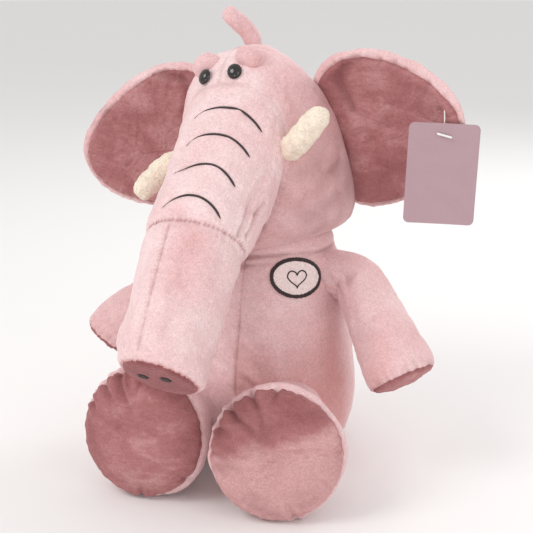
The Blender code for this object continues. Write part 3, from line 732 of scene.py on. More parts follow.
def make_body():
    body = turned("body", BODY_PROFILE, BODY, 132)

    def panel_of(centres):
        p = apply_matrix(BODY.inverted(), centres)
        return np.where((p[:, 2] < 0.0016) & (off_axis(p) < 0.0445), 2, np.where(p[:, 0] > 0, 0, 1))

    set_panels(body, panel_of)
    p = points_in(BODY, body)
    middle, base = body_seams(p)
    held = np.maximum(held_by(middle[0]), held_by(base[0]))
    held = np.maximum(held, 1 - smooth_step(p[:, 2], 0.001, 0.004))
    scene_parts.append((body, np.maximum(held, smooth_step(p[:, 2], 0.160, 0.172))))
    return body


# Head: the skull and the muzzle in one skin

def muzzle_radius(up):
    wider = MUZZLE_ROOT_RADIUS - MUZZLE_RADIUS
    return MUZZLE_RADIUS + wider * np.clip(up, -0.02, MUZZLE_LENGTH) / MUZZLE_LENGTH


HEAD_LEFT, HEAD_RIGHT, MUZZLE_PANEL, TRUNK_LEFT, TRUNK_RIGHT, TIP_PAD = range(6)
HEAD_PANELS = ["head_skin_left", "head_skin_right", "muzzle_skin",
               "trunk_skin_left", "trunk_skin_right", "trunk_tip_pad"]
MUZZLE_FROM_HEAD = MUZZLE.inverted() @ HEAD
TRUNK_FROM_HEAD = TRUNK.inverted() @ HEAD


def muzzle_side(p):
    """Above 0 on the muzzle and below 0 on the skull, about a metre's worth for each metre from their seam."""
    skull = off_axis(p) - radius_at(HEAD_PROFILE, p[:, 2])
    q = apply_matrix(MUZZLE_FROM_HEAD, p)
    return skull - np.maximum(off_axis(q) - muzzle_radius(q[:, 2]), q[:, 2] - MUZZLE_LENGTH - 0.012)


def muzzle_gap(p):
    """How far each point lies from the seam between muzzle and skull, and the slope of that distance."""
    step = 0.0005
    here = muzzle_side(p)
    slope = np.stack([(muzzle_side(p + step * axis) - here) / step for axis in np.eye(3)], 1)
    steepness = np.maximum(np.linalg.norm(slope, axis=1), 0.35)
    return here / steepness, slope / steepness[:, None]


def wrinkle_path(up, above=0.0, steps=24):
    share = np.linspace(0, 1, steps)
    angle = np.radians(WRINKLE_FROM + (WRINKLE_TO - WRINKLE_FROM) * share)
    height = up - 0.010 * (2 * share - 1) ** 2
    radius = muzzle_radius(height) + above
    return np.stack([radius * np.sin(angle), -radius * np.cos(angle), height], 1)


def head_relief(p):
    q = apply_matrix(MUZZLE_FROM_HEAD, p)
    up, (gap, _) = q[:, 2], muzzle_gap(p)
    relief = lumps(p, (0.0009, 0.050, 21), (0.0003, 0.015, 22))
    under = smooth_step(-up, -0.075, -0.015)  # gathers grow towards the trunk
    firmness = 1 - 0.72 * smooth_step(up, 0.070, 0.112)
    relief += firmness * seam(np.abs(gap), up, 23, depth=0.0020, width=0.0020, pucker=0.0005, reach=0.006)
    for places, depth, width in MUZZLE_FOLDS:
        for sign in (1, -1):
            turns = [(muzzle_radius(z) * sin(radians(a)) * sign, -muzzle_radius(z) * cos(radians(a)), z)
                     for z, a in places]
            distance, _ = near_path(q, corner_cut(turns))
            relief += groove(distance, depth, width) + ridge(distance, 0.35 * depth, width, at=2.4 * width)
    relief -= under * ripple(up, 0.012, 24) ** 2 * ridge(gap, 0.0034, 0.013)
    relief += smooth_step(p[:, 2], 0.03, 0.05) * (gap < 0) * groove(p[:, 0], 0.0009, 0.0015)
    for start in WRINKLES_UP:
        distance, _ = near_path(q, wrinkle_path(start))
        relief += groove(distance, 0.0011, 0.0022) + ridge(distance, 0.0009, 0.005, at=0.007)
    distance, _ = near_path(p, CHEEK_FOLD)
    relief += groove(distance, 0.0042, 0.0032) + ridge(distance, 0.0012, 0.005, at=0.009)
    distance, _ = near_path(p, JAW_FOLD)
    return relief + groove(distance, 0.0018, 0.0024)


def trunk_relief(p):
    x, y, z = p.T
    inside_rim = off_axis(p) - TRUNK_PAD_RADIUS
    side = smooth_step(-z, 0.001, 0.006) * (1 - smooth_step(-z, 0.100, 0.106))
    relief = side * lumps(p, (0.0010, 0.045, 31), (0.0003, 0.014, 32))
    relief += side * seam(np.abs(x), z, 33, depth=0.0014, width=0.0017, pucker=0.0006, reach=0.005)
    relief += side * ridge(np.abs(x), 0.0008, 0.003, at=0.0055) * (y < 0)
    rim = np.hypot(inside_rim, np.clip(-0.1085 - z, 0, None))
    relief -= (z < -0.095) * 0.0008 * ripple(np.arctan2(x, -y) * 0.030, 0.0055, 35) * np.exp(-rim / 0.0045)
    return relief + groove(inside_rim, 0.0009, 0.0013) * (z < -0.105)


def make_head():
    """The skull, the muzzle and the trunk under one skin."""
    skull = turned("skull", HEAD_PROFILE, HEAD, 120)
    cap = [(muzzle_radius(MUZZLE_LENGTH) * cos(radians(a)), MUZZLE_LENGTH - 0.020 + 0.034 * sin(radians(a)))
           for a in (0, 25, 50, 70)]
    tube = [(0.0, -0.014), (0.033, -0.014)]
    tube += [(float(muzzle_radius(up)), up) for up in (-0.006, 0.020, 0.060, 0.090, 0.112)] + cap
    tube.append((0.0, MUZZLE_LENGTH + 0.014))
    solids = [skull, turned("muzzle", tube, MUZZLE, 96), turned("trunk", TRUNK_PROFILE, TRUNK, 84)]
    head = voxel_joined("head", solids, 0.0026, 6)

    def panel_of(centres):
        p = apply_matrix(HEAD.inverted(), centres)
        t = apply_matrix(TRUNK_FROM_HEAD, p)
        face = np.where(muzzle_side(p) > 0, MUZZLE_PANEL, np.where(p[:, 0] > 0, HEAD_LEFT, HEAD_RIGHT))
        on_pad = (t[:, 2] < -0.106) & (off_axis(t) < TRUNK_PAD_RADIUS)
        below = np.where(on_pad, TIP_PAD, np.where(t[:, 0] > 0, TRUNK_LEFT, TRUNK_RIGHT))
        return np.where(t[:, 2] > 0, face, below)

    set_panels(head, panel_of)
    snap_to_seams(head)
    p = points_in(HEAD, head)
    t = apply_matrix(TRUNK_FROM_HEAD, p)
    gap, _ = muzzle_gap(p)
    on_trunk, on_skull = t[:, 2] < 0, (gap < 0) & (t[:, 2] > 0)
    held = np.where(on_trunk, held_by(t[:, 0]), held_by(gap, 0.005))
    held = np.maximum(held, held_by(p[:, 0]) * on_skull)
    held = np.maximum(held, held_by(t[:, 2], 0.005) * ~on_skull)
    held = np.maximum(held, smooth_step(-t[:, 2], 0.101, 0.107))
    scene_parts.append((head, np.maximum(held, (1 - smooth_step(p[:, 2], -0.004, 0.006)) * on_skull)))
    return head


def snap_to_seams(head):
    """Moves the points between two panels onto the seam, so that it runs straight."""
    touching = [set() for _ in head.data.vertices]
    for polygon, number in zip(head.data.polygons, panels_of(head)):
        for vertex in polygon.vertices:
            touching[vertex].add(int(number))

    def between(some, others):
        return np.array([bool(at & some) and bool(at & others) for at in touching])

    round_muzzle = between({MUZZLE_PANEL}, {HEAD_LEFT, HEAD_RIGHT})
    crown = between({HEAD_LEFT}, {HEAD_RIGHT}) & ~round_muzzle
    cross = between({MUZZLE_PANEL}, {TRUNK_LEFT, TRUNK_RIGHT})
    trunk_middle = between({TRUNK_LEFT}, {TRUNK_RIGHT}) & ~cross
    round_pad = between({TIP_PAD}, {TRUNK_LEFT, TRUNK_RIGHT})
    local = points_in(HEAD, head)
    local[crown, 0] = 0
    for _ in range(3):
        gap, slope = muzzle_gap(local[round_muzzle])
        step = -(gap / np.maximum((slope ** 2).sum(1), 0.3))[:, None] * slope
        far = np.linalg.norm(step, axis=1)[:, None]
        local[round_muzzle] += step * np.minimum(1, 0.0016 / np.maximum(far, 1e-9))
    t = apply_matrix(TRUNK_FROM_HEAD, local)
    t[cross, 2] = 0
    t[trunk_middle, 0] = 0
    t[round_pad, :2] *= (TRUNK_PAD_RADIUS / off_axis(t[round_pad]))[:, None]
    set_co(head.data, apply_matrix(TRUNK, t))


def whole_head_relief(p):
    """The reliefs of the head and of the trunk, and the cross seam between them."""
    t = apply_matrix(TRUNK_FROM_HEAD, p)
    share = smooth_step(-t[:, 2], -0.004, 0.004)
    along = np.arctan2(t[:, 0], -t[:, 1]) * 0.038
    cross = seam(np.abs(t[:, 2]), along, 25, depth=0.0012, width=0.0016, pucker=0.0011, reach=0.006, pitch=0.0055)
    return head_relief(p) * (1 - share) + trunk_relief(t) * share + cross * (muzzle_side(p) > 0)


# Limbs

def arm_frame(side, sign):
    return aimed(pivot(f"arm_swing_{side}"), (sign * ARM_AIM.x, ARM_AIM.y, ARM_AIM.z))


def leg_frame(side):
    yaw = LEG_YAW[side]
    forward = Vector((sin(yaw) * cos(LEG_RISE), -cos(yaw) * cos(LEG_RISE), sin(LEG_RISE)))
    return aimed(pivot(f"leg_swing_{side}"), forward)


def limb(name, to_row, stations, root, columns, pad_radius, pad_from, slant=None):
    """A limb along its frame's -Z that starts at a root point inside the body, with a pad over its far end.

    The slant is the direction in which the far end is longer, and by how much of its radius.
    """
    inward = to_row.inverted() @ Vector(root)
    first = stations[0][0]
    line = [(*inward, 0.0), (*inward, first * 0.96), (*(inward * 0.5), first)]
    line += [(0, 0, z, r) for r, z in stations]
    obj = ring_object(name, rings_of(line, columns, (0, -1, 0)), to_row)

    def panel_of(centres):
        p = apply_matrix(to_row.inverted(), centres)
        return (p[:, 2] < pad_from) & (off_axis(p) < pad_radius)

    set_panels(obj, panel_of)
    even_middle(obj, to_row, (0, 1), np.zeros(2), 0.4 * pad_radius, lambda q: q[:, 2] < pad_from + 0.010)
    p = points_in(to_row, obj)
    if slant is not None:
        longer = p[:, :2] @ np.array((to_row.inverted().to_3x3() @ Vector(slant))[:2])
        p[:, 2] -= longer * smooth_step(-p[:, 2], 0.060, 0.095)
        set_co(obj.data, apply_matrix(to_row, p))
    rim = np.hypot(off_axis(p) - pad_radius, np.minimum(p[:, 2] - pad_from, 0))
    held = np.maximum(held_by(rim) * (p[:, 2] < pad_from + 0.004), smooth_step(p[:, 2], -0.002, 0.012))
    scene_parts.append((obj, held))
    return obj


def arm_relief(side, sign):
    inner = np.array(arm_frame(side, sign).inverted().to_3x3() @ Vector((-sign, -0.35, -0.2)).normalized())

    def relief(p):
        x, y, z = p.T
        radius, angle = off_axis(p), np.arctan2(y, x)
        sleeve = smooth_step(-z, -0.004, 0.010) * (1 - smooth_step(-z, 0.092, 0.098))
        out = sleeve * lumps(p, (0.0011, 0.042, 41 + sign), (0.0003, 0.013, 43 + sign))
        facing = smooth_step((p @ inner) / np.maximum(radius, 0.004), -0.3, 0.7)
        out -= ridge(z, 0.0022, 0.014, at=-0.008) * ripple(angle * 0.022, 0.012, 45 + sign) * facing
        lengthwise = np.abs(angle - np.arctan2(inner[1], inner[0])) * radius
        out += sleeve * seam(lengthwise, z, 47 + sign, depth=0.0011, width=0.0016, pucker=0.0004)
        rim = np.abs(radius - HAND_PAD_RADIUS) + np.clip(z - HAND_EDGE, 0, None)
        out += (z < -0.085) * seam(rim, angle * 0.026, 49 + sign, depth=0.0014, width=0.0015, pucker=0.0013,
                                   reach=0.005, pitch=0.006)
        return out + (z < HAND_EDGE) * 0.0006 * waves(p, 0.008, 51)
    return relief


def leg_relief(side, sign):
    upper = leg_frame(side).inverted().to_3x3() @ Vector((-0.55, 0, 0.83))

    def relief(p):
        z = p[:, 2]
        sleeve = smooth_step(-z, -0.004, 0.010) * (1 - smooth_step(-z, 0.066, 0.073))
        sole = smooth_step(-z, 0.0735, 0.0765)
        out = sleeve * lumps(p, (0.0012, 0.045, 61 + sign), (0.0003, 0.014, 63 + sign))
        out += sole * lumps(p, (0.0016, 0.034, 65 + sign), (0.0004, 0.007, 67 + sign))
        along = np.arctan2(p[:, 1], p[:, 0]) * SOLE_RADIUS
        out += (off_axis(p) > 0.040) * seam(np.abs(z - SOLE_EDGE), along, 69 + sign, depth=0.0015, width=0.0016,
                                            pucker=0.0012, reach=0.006, pitch=0.011)
        for turn, reach_in, depth, width in SOLE_FOLDS:
            way = Matrix.Rotation(radians(turn) * sign, 3, "Z") @ Vector((upper[0], upper[1], 0)).normalized()
            inwards = SOLE_RADIUS - p[:, :2] @ np.array(way)[:2]
            aside = np.abs(p[:, :2] @ np.array((-way[1], way[0])) + 0.0016 * np.sin(inwards * 160 + turn))
            fade = np.exp(-(np.clip(inwards, 0, None) / reach_in) ** 2) * (inwards < SOLE_RADIUS)
            fold = groove(aside, depth, width) + ridge(aside, 0.45 * depth, width, at=2.6 * width)
            out += smooth_step(-z, 0.058, 0.070) * fade * fold
        across, _ = near_path(p, [(-0.020, 0.028, -0.079), (0.0, 0.006, -0.081), (0.026, -0.020, -0.079)])
        return out + sole * groove(across, 0.0008, 0.0016)
    return relief


# Ears

EAR_OUTLINE = [(0.002, 0.0), (0.000, 0.028), (-0.007, 0.048), (0.004, 0.063), (0.032, 0.066), (0.060, 0.056),
               (0.086, 0.038), (0.107, 0.018), (0.118, -0.008), (0.112, -0.034), (0.090, -0.053),
               (0.058, -0.063), (0.018, -0.067), (-0.007, -0.056), (0.000, -0.028)]
EAR_CENTRE = np.array((0.050, -0.002))
EAR_COLUMNS, NET_SPACING = 150, 0.0018
PUNCTURE = np.array((0.098, -0.004))


def ear_frame(side, sign):
    turn = Matrix.Rotation(-sign * EAR_FORWARD, 4, "Z") @ Matrix.Rotation(-sign * EAR_LEAN, 4, "Y")
    tilt = HEAD.to_3x3().to_4x4()
    return Matrix.Translation(pivot(f"ear_flap_{side}")) @ tilt @ turn


def ear_outline(to_row, sign):
    """The ear's outline as u and v, its sewn edge carried inwards until it meets the head."""
    to_head = HEAD.inverted() @ to_row
    points = []
    for u, v in EAR_OUTLINE:
        if u < 0.003:
            for reach in np.arange(0.0, 0.044, 0.001):
                at = np.array(to_head @ Vector((sign * (u - reach), 0, v)))
                if np.hypot(at[0], at[1]) < radius_at(HEAD_PROFILE, at[2]) - 0.004:
                    break
            u -= float(reach) if reach < 0.040 else 0.006
        points.append((u, v))
    return resampled(corner_cut(points, 3, closed=True), EAR_COLUMNS, closed=True)


def ear_bend(u, v, sign):
    """How far back each point of the ear lies: its outer edge cups forwards and its upper corner curls."""
    cup = -0.0030 * smooth_step(u, 0.030, 0.125) ** 1.5
    curl = -0.0100 * smooth_step(v, 0.034, 0.072) * (1 - smooth_step(u, 0.018, 0.075))
    sag = 0.0030 * np.sin(pi * np.clip(u / 0.118, 0, 1)) * np.cos(v * 22)
    return cup + (curl if sign > 0 else 0.6 * curl) + sag


def ear_rim(v):
    """How wide the pink edge round the lining is."""
    return 0.0026 + 0.0052 * smooth_step(v, -0.030, 0.015)


def make_ear(side, sign):
    to_row = ear_frame(side, sign)
    outline = ear_outline(to_row, sign)
    spokes = outline - EAR_CENTRE
    reach = np.linalg.norm(spokes, axis=1)[:, None]
    inner = EAR_CENTRE + spokes * (1 - ear_rim(outline[:, 1])[:, None] / reach)
    lining_rings, rim_rings, back_rings = 17, 4, 18
    shares = np.linspace(0.03, 1, lining_rings)
    rings = [EAR_CENTRE + (inner - EAR_CENTRE) * s for s in shares]
    rings += [inner + (outline - inner) * s for s in np.linspace(0, 1, rim_rings + 1)[1:]]
    rings += [EAR_CENTRE + spokes * s for s in np.linspace(1, 0.03, back_rings + 1)[1:]]
    flat = np.array(rings)
    edge = np.linalg.norm(flat - outline[None], axis=2)
    front = np.arange(len(rings)) < lining_rings + rim_rings
    plump = 0.0052 * np.sqrt(np.clip(edge / 0.012, 0, 1)) * (1 - 0.25 * smooth_step(edge, 0.015, 0.05))
    depth = np.where(front[:, None], -plump, plump) + ear_bend(flat[..., 0], flat[..., 1], sign)
    rings3 = np.stack([sign * flat[..., 0], depth, flat[..., 1]], 2)
    ear = ring_object(f"ear_{side}", rings3, to_row)
    numbers = np.zeros(len(ear.data.polygons))
    numbers[:EAR_COLUMNS * (lining_rings - 1)] = 1
    row_faces = EAR_COLUMNS * (len(rings) - 1)
    numbers[row_faces:row_faces + EAR_COLUMNS] = 1
    write_panels(ear, numbers)
    middle = np.array((sign * EAR_CENTRE[0], EAR_CENTRE[1]))
    for front in (-1, 1):
        even_middle(ear, to_row, (0, 2), middle, 0.016,
                    lambda q: (q[:, 1] - ear_bend(sign * q[:, 0], q[:, 2], sign)) * front > 0)
    at_edge, _ = near_path(points_in(to_row, ear)[:, [0, 2]] * (sign, 1), looped(outline))
    scene_parts.append((ear, np.maximum(held_by(at_edge), 0.12)))
    return ear


def ear_relief(side, sign):
    edge = looped(ear_outline(ear_frame(side, sign), sign))

    def relief(p):
        flat = p[:, [0, 2]] * (sign, 1)
        distance, along = near_path(flat, edge)
        facing_front = p[:, 1] < ear_bend(flat[:, 0], flat[:, 1], sign)
        out = 0.0011 * waves(p, 0.036, 81 + sign) + facing_front * 0.0005 * waves(p, 0.012, 83 + sign)
        out += facing_front * seam(np.abs(distance - ear_rim(flat[:, 1])), along, 85 + sign, depth=0.0015,
                                   width=0.0014, pucker=0.0012, reach=0.006, pitch=0.009)
        out -= 0.0006 * ripple(along, 0.012, 87 + sign) * np.exp(-distance / 0.010) * ~facing_front
        curl, _ = near_path(flat, corner_cut([(0.016, 0.018), (0.011, 0.038), (0.016, 0.049), (0.036, 0.053)]))
        out += facing_front * groove(curl, 0.0036, 0.0042)
        if sign > 0:
            aside, up = (flat - PUNCTURE).T
            hole = np.hypot(aside, up)
            gathers = 0.5 + 0.5 * np.sin(5 * np.arctan2(up, aside))
            out += groove(hole, 0.0022, 0.0028) - gathers * ridge(hole, 0.0007, 0.006)
        return out * smooth_step(flat[:, 0], -0.012, 0.010)
    return relief


# Small stuffed pieces

def head_surface(up, turn_deg, above=0.0):
    """A point on the skull, turned from the front towards +X, and the outward direction, in the head's frame."""
    step = 0.002
    below, here, over = (float(radius_at(HEAD_PROFILE, z)) for z in (up - step, up, up + step))
    slope = Vector((2 * step, below - over)).normalized()
    angle = radians(turn_deg)
    outward = Vector((slope.x * sin(angle), -slope.x * cos(angle), slope.y))
    return Vector((here * sin(angle), -here * cos(angle), up)) + outward * above, outward


def make_tusk(side, sign):
    to_row = aimed(pivot(f"tusk_bend_{side}"), HEAD.to_3x3() @ TUSK_AIM[side])
    _, outward = head_surface(0.072, sign * 50)
    root = (to_row.inverted().to_3x3() @ (HEAD.to_3x3() @ -outward)) * 0.014 + Vector((0, 0, 0.006))
    tip = TUSK_LENGTH[side]
    line = [(*root, 0.0), (*root, 0.0092), (*(root * 0.5), 0.0100), (0, 0, -0.004, 0.0101),
            (0.0004, 0, -0.35 * tip, 0.0100), (0, 0.0006, -0.70 * tip, 0.0095), (0, 0, -0.90 * tip, 0.0080),
            (0, 0, -0.985 * tip, 0.0046), (0, 0, -tip, 0.0)]
    tusk = subdivided(swept(f"tusk_{side}", line, to_row, 40, front=(1, 0, 0)))
    sculpt(tusk, to_row, lambda p: 0.0005 * waves(p, 0.0080, 91) + 0.00035 * waves(p, 0.0019, 92, 30))
    finished(tusk, FLEECE, [f"tusk_{side}"])
    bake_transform(tusk)


def make_tuft():
    to_row = Matrix.Translation(pivot("tuft_bend")) @ HEAD.to_3x3().to_4x4()
    line = [(0, 0, -0.006, 0.0), (0, 0, -0.006, 0.0074), (0, 0, 0.0, 0.0076), (-0.0008, -0.001, 0.007, 0.0074),
            (-0.0028, -0.004, 0.014, 0.0074), (-0.0056, -0.008, 0.020, 0.0076), (-0.0088, -0.012, 0.0250, 0.0076),
            (-0.0112, -0.015, 0.0283, 0.0066), (-0.0126, -0.0165, 0.0301, 0.0042), (-0.0132, -0.0172, 0.0308, 0.0)]
    tuft = swept("hair_tuft", line, to_row, 36, front=(1, 0, 0))
    sculpt(tuft, to_row,
           lambda p: 0.0005 * waves(p, 0.012, 95) - 0.0007 * np.exp(-np.abs(p[:, 2] + 0.001) / 0.002))
    finished(tuft, SKIN, ["hair_tuft"])
    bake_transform(tuft)


def make_brow(side, sign):
    seat, outward = head_surface(0.146, 37 if side == "left" else -34, -0.0008)
    to_row = HEAD @ aimed(seat, -outward)
    dome = [(0.0, 0.0112), (0.006, 0.0106), (0.0112, 0.0070), (0.0138, 0.0000), (0.0128, -0.0040), (0.0, -0.0042)]
    flat = to_row @ Matrix.Rotation(-sign * BROW_SLOPE, 4, "Z") @ Matrix.Diagonal((0.94, 0.76, 0.94, 1.0))
    brow = turned(f"brow_bump_{side}", dome, flat, 56, spacing=0.0014)

    def relief(p):
        folds = ripple(np.arctan2(p[:, 1], p[:, 0]) * 0.012, 0.008, 98) * np.exp(-np.clip(p[:, 2], 0, 1) / 0.003)
        return 0.0006 * waves(p, 0.016, 97 + sign) - 0.0004 * folds

    sculpt(brow, to_row, relief)
    finished(brow, SKIN, [f"brow_bump_{side}"])
    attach(brow, "head")


def make_eye(side, sign):
    seat, outward = head_surface(0.137, sign * 18, 0.0010)
    to_row = HEAD @ aimed(seat, -outward)
    dome = [(0.0, 0.0040), (0.0030, 0.0037), (0.0052, 0.0022), (EYE_RADIUS, 0.0004), (EYE_RADIUS * 0.94, -0.0006),
            (0.0021, -0.0010), (0.0021, -0.0080), (0.0, -0.0082)]
    oval = to_row @ Matrix.Diagonal((1.02, 1.14, 1.0, 1.0))
    eye = turned(f"eye_{side}", dome, oval, 48, spacing=0.0005)
    finished(eye, EYE, [f"eye_{side}", f"eye_washer_{side}"])
    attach(eye, "head")


def make_tail():
    to_row = aimed(pivot("tail_wag"), TAIL_AIM)
    line = [(0, -0.014, 0.008, 0.0), (0, -0.013, 0.007, 0.0058), (0, -0.004, 0.003, 0.0060),
            (0, 0, -0.004, 0.0056), (0.0006, 0, -0.012, 0.0052), (-0.0006, 0.001, -0.026, 0.0050),
            (0, 0, -0.032, 0.0068), (0, 0, -0.038, 0.0078), (0, 0, -0.044, 0.0062), (0, 0, -0.0475, 0.0)]
    tail = swept("tail", line, to_row, 32)
    sculpt(tail, to_row, lambda p: 0.0004 * waves(p, 0.010, 99)
           + (p[:, 2] < -0.028) * 0.0007 * ripple(np.arctan2(p[:, 1], p[:, 0]) * 0.007, 0.004, 100))
    finished(tail, SKIN, ["tail"])
    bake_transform(tail)


# Embroidery and patch, laid on the finished skins

def surface_of(*objects):
    bm = bmesh.new()
    for obj in objects:
        bm.from_mesh(obj.data)
    tree = BVHTree.FromBMesh(bm)
    bm.free()
    return tree


def stitched_line(name, path, radius, closed=False, pitch=0.0011, flatten=0.6, columns=10):
    """A satin-stitched line along a path of points and outward directions: overlapping strands side by side."""
    points = np.array([p for p, _ in path])
    outward = np.array([n for _, n in path])
    radii = np.array(radius, float) * np.ones(len(points))
    table = np.hstack([points, outward, radii[:, None]])
    steps = int(length_of(looped(points) if closed else points) / (pitch / 4))
    table = resampled(table, steps, closed)
    points, outward, radii = table[:, :3], table[:, 3:6], table[:, 6]
    outward /= np.linalg.norm(outward, axis=1)[:, None]
    tangent = (np.roll(points, -1, 0) - np.roll(points, 1, 0)) if closed else np.gradient(points, axis=0)
    across = np.cross(outward, tangent)
    across /= np.linalg.norm(across, axis=1)[:, None]
    strand = 1 + 0.13 * np.sin(2 * pi * np.arange(steps) / 4 + 0.5 * np.sin(np.arange(steps) * 0.37))
    angles = 2 * pi * np.arange(columns) / columns
    spokes = across[:, None] * np.cos(angles)[None, :, None] \
        + outward[:, None] * (flatten * np.sin(angles))[None, :, None]
    rings = points[:, None] + spokes * (radii * strand)[:, None, None]
    if closed:
        rings = np.concatenate([rings, rings[:1]])
    return ring_object(name, rings, closed=not closed)


def make_wrinkles(tree):
    for number, up in enumerate(WRINKLES_UP, start=1):
        path = []
        for point in wrinkle_path(up, 0.020, 30):
            inwards = MUZZLE.to_3x3() @ Vector((-point[0], -point[1], 0)).normalized()
            found, _, _, _ = tree.ray_cast(MUZZLE @ Vector(point), inwards)
            path.append((found - inwards * 0.00025, -inwards))
        for _ in range(8):
            threes = zip(path, path[1:], path[2:])
            path[1:-1] = [((a + 2 * b + c) / 4, out) for (a, _), (b, out), (c, _) in threes]
        path = [(at + out * 0.0003, out) for at, out in path]
        share = np.linspace(0, 1, len(path))
        width = 0.00105 * np.clip(np.minimum(share / 0.35, (1 - share) / 0.05), 0.25, 1)
        line = stitched_line(f"wrinkle_stitching_{number}", path, width)
        finished(line, EMBROIDERY, [f"wrinkle_stitching_{number}"])
        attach(line, "head")


def make_nostrils(tree):
    for side, sign in SIDES:
        path = []
        for i in range(27):
            a = 2 * pi * i / 13
            spread = 0.0032 * (1 - 0.55 * (i // 13))
            start = TRUNK @ Vector((sign * 0.010 + spread * cos(a), -0.006 + 0.8 * spread * sin(a), -0.125))
            found, normal, _, _ = tree.ray_cast(start, TRUNK.to_3x3() @ Vector((0, 0, 1)))
            path.append((found + normal * 0.0002, normal))
        nostril = stitched_line("nostril", path, 0.0012, pitch=0.0010)
        finished(nostril, EMBROIDERY, [f"nostril_{side}"])
        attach(nostril, "trunk")


def make_cross_stitches(tree):
    """Short threads over the seam between the muzzle and the trunk. They stand for no CAD node."""
    count, stitches = 44, []
    for i in range(count):
        angle = radians(-118 + 236 * i / (count - 1))
        path = []
        for share in np.linspace(-1, 1, 6):
            out = Vector((sin(angle + 0.012 * share), -cos(angle + 0.012 * share), 0))
            start = TRUNK @ (out * 0.06 + Vector((0, 0, 0.0016 * share)))
            found, normal, _, _ = tree.ray_cast(start, TRUNK.to_3x3() @ -out)
            path.append((found + normal * (0.0006 * (1 - share ** 2) - 0.0001), normal))
        stitches.append(stitched_line("stitch", path, 0.00030, pitch=0.0008, columns=7))
    row = merged("cross_seam_stitches", stitches)
    row.data.materials.append(SEAM_THREAD)
    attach(row, "head")


PATCH_OUT = Vector((sin(PATCH_TURN), -cos(PATCH_TURN), 0))
PATCH_ACROSS = Vector((cos(PATCH_TURN), sin(PATCH_TURN), 0))


def on_body(tree, across, up, above):
    """A place above the body by its distance across and up from the patch's centre, and the outward direction."""
    start = PATCH_OUT * 0.12 + PATCH_ACROSS * across + Vector((0, 0, PATCH_HEIGHT + up))
    found, normal, _, _ = tree.ray_cast(start, -PATCH_OUT)
    return found + normal * above, normal


def round_patch(tree, share, count, above):
    """Places round the leaning oval that is this share of the patch's size."""
    line = []
    for i in range(count):
        a = 2 * pi * i / count
        across, up = PATCH_HALF_WIDTH * share * cos(a), PATCH_HALF_HEIGHT * share * sin(a)
        line.append(on_body(tree, across * cos(PATCH_LEAN) - up * sin(PATCH_LEAN),
                            across * sin(PATCH_LEAN) + up * cos(PATCH_LEAN), above))
    return line


def embroider(name, path, radius, pitch, body):
    """A closed stitched line that stands for the node of its name."""
    line = stitched_line(name, path, radius, closed=True, pitch=pitch)
    finished(line, EMBROIDERY, [name])
    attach(line, body)


def make_patch(tree):
    count = 72
    rings = [[at for at, _ in round_patch(tree, share, count, 0.0011)] for share in np.linspace(0.02, 1, 14)]
    rings.append([p - PATCH_OUT * 0.0018 for p in rings[-1]])
    felt = ring_object("patch_felt", np.array(rings), closed=False)
    bm = bmesh.new()
    bm.from_mesh(felt.data)
    bmesh.ops.holes_fill(bm, edges=[e for e in bm.edges if e.is_boundary], sides=count)
    bmesh.ops.recalc_face_normals(bm, faces=bm.faces)
    bm.to_mesh(felt.data)
    bm.free()
    write_attribute(felt, "crease_shade", np.zeros(len(felt.data.vertices)))
    finished(felt, PATCH_FELT, ["patch_felt"])
    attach(felt, "torso")
    embroider("patch_border_stitching", round_patch(tree, 1, count, 0.0010), BORDER_RADIUS, 0.0012, "torso")
    heart, size = [], 0.0082 / 17
    for i in range(64):
        a = 2 * pi * (i + 0.5) / 64
        up = size * (13 * cos(a) - 5 * cos(2 * a) - 2 * cos(3 * a) - cos(4 * a))
        heart.append(on_body(tree, size * 16 * sin(a) ** 3, up, 0.0013))
    embroider("patch_motif_stitching", heart, 0.00055, 0.0010, "torso")


# Hang tag

def rounded_box_outline(width, height, corner, steps=6):
    points = []
    for cx, cz, start in ((1, 1, 0), (-1, 1, 90), (-1, -1, 180), (1, -1, 270)):
        for i in range(steps + 1):
            a = radians(start + 90 * i / steps)
            points.append((cx * (width / 2 - corner) + corner * cos(a),
                           cz * (height / 2 - corner) + corner * sin(a)))
    return points


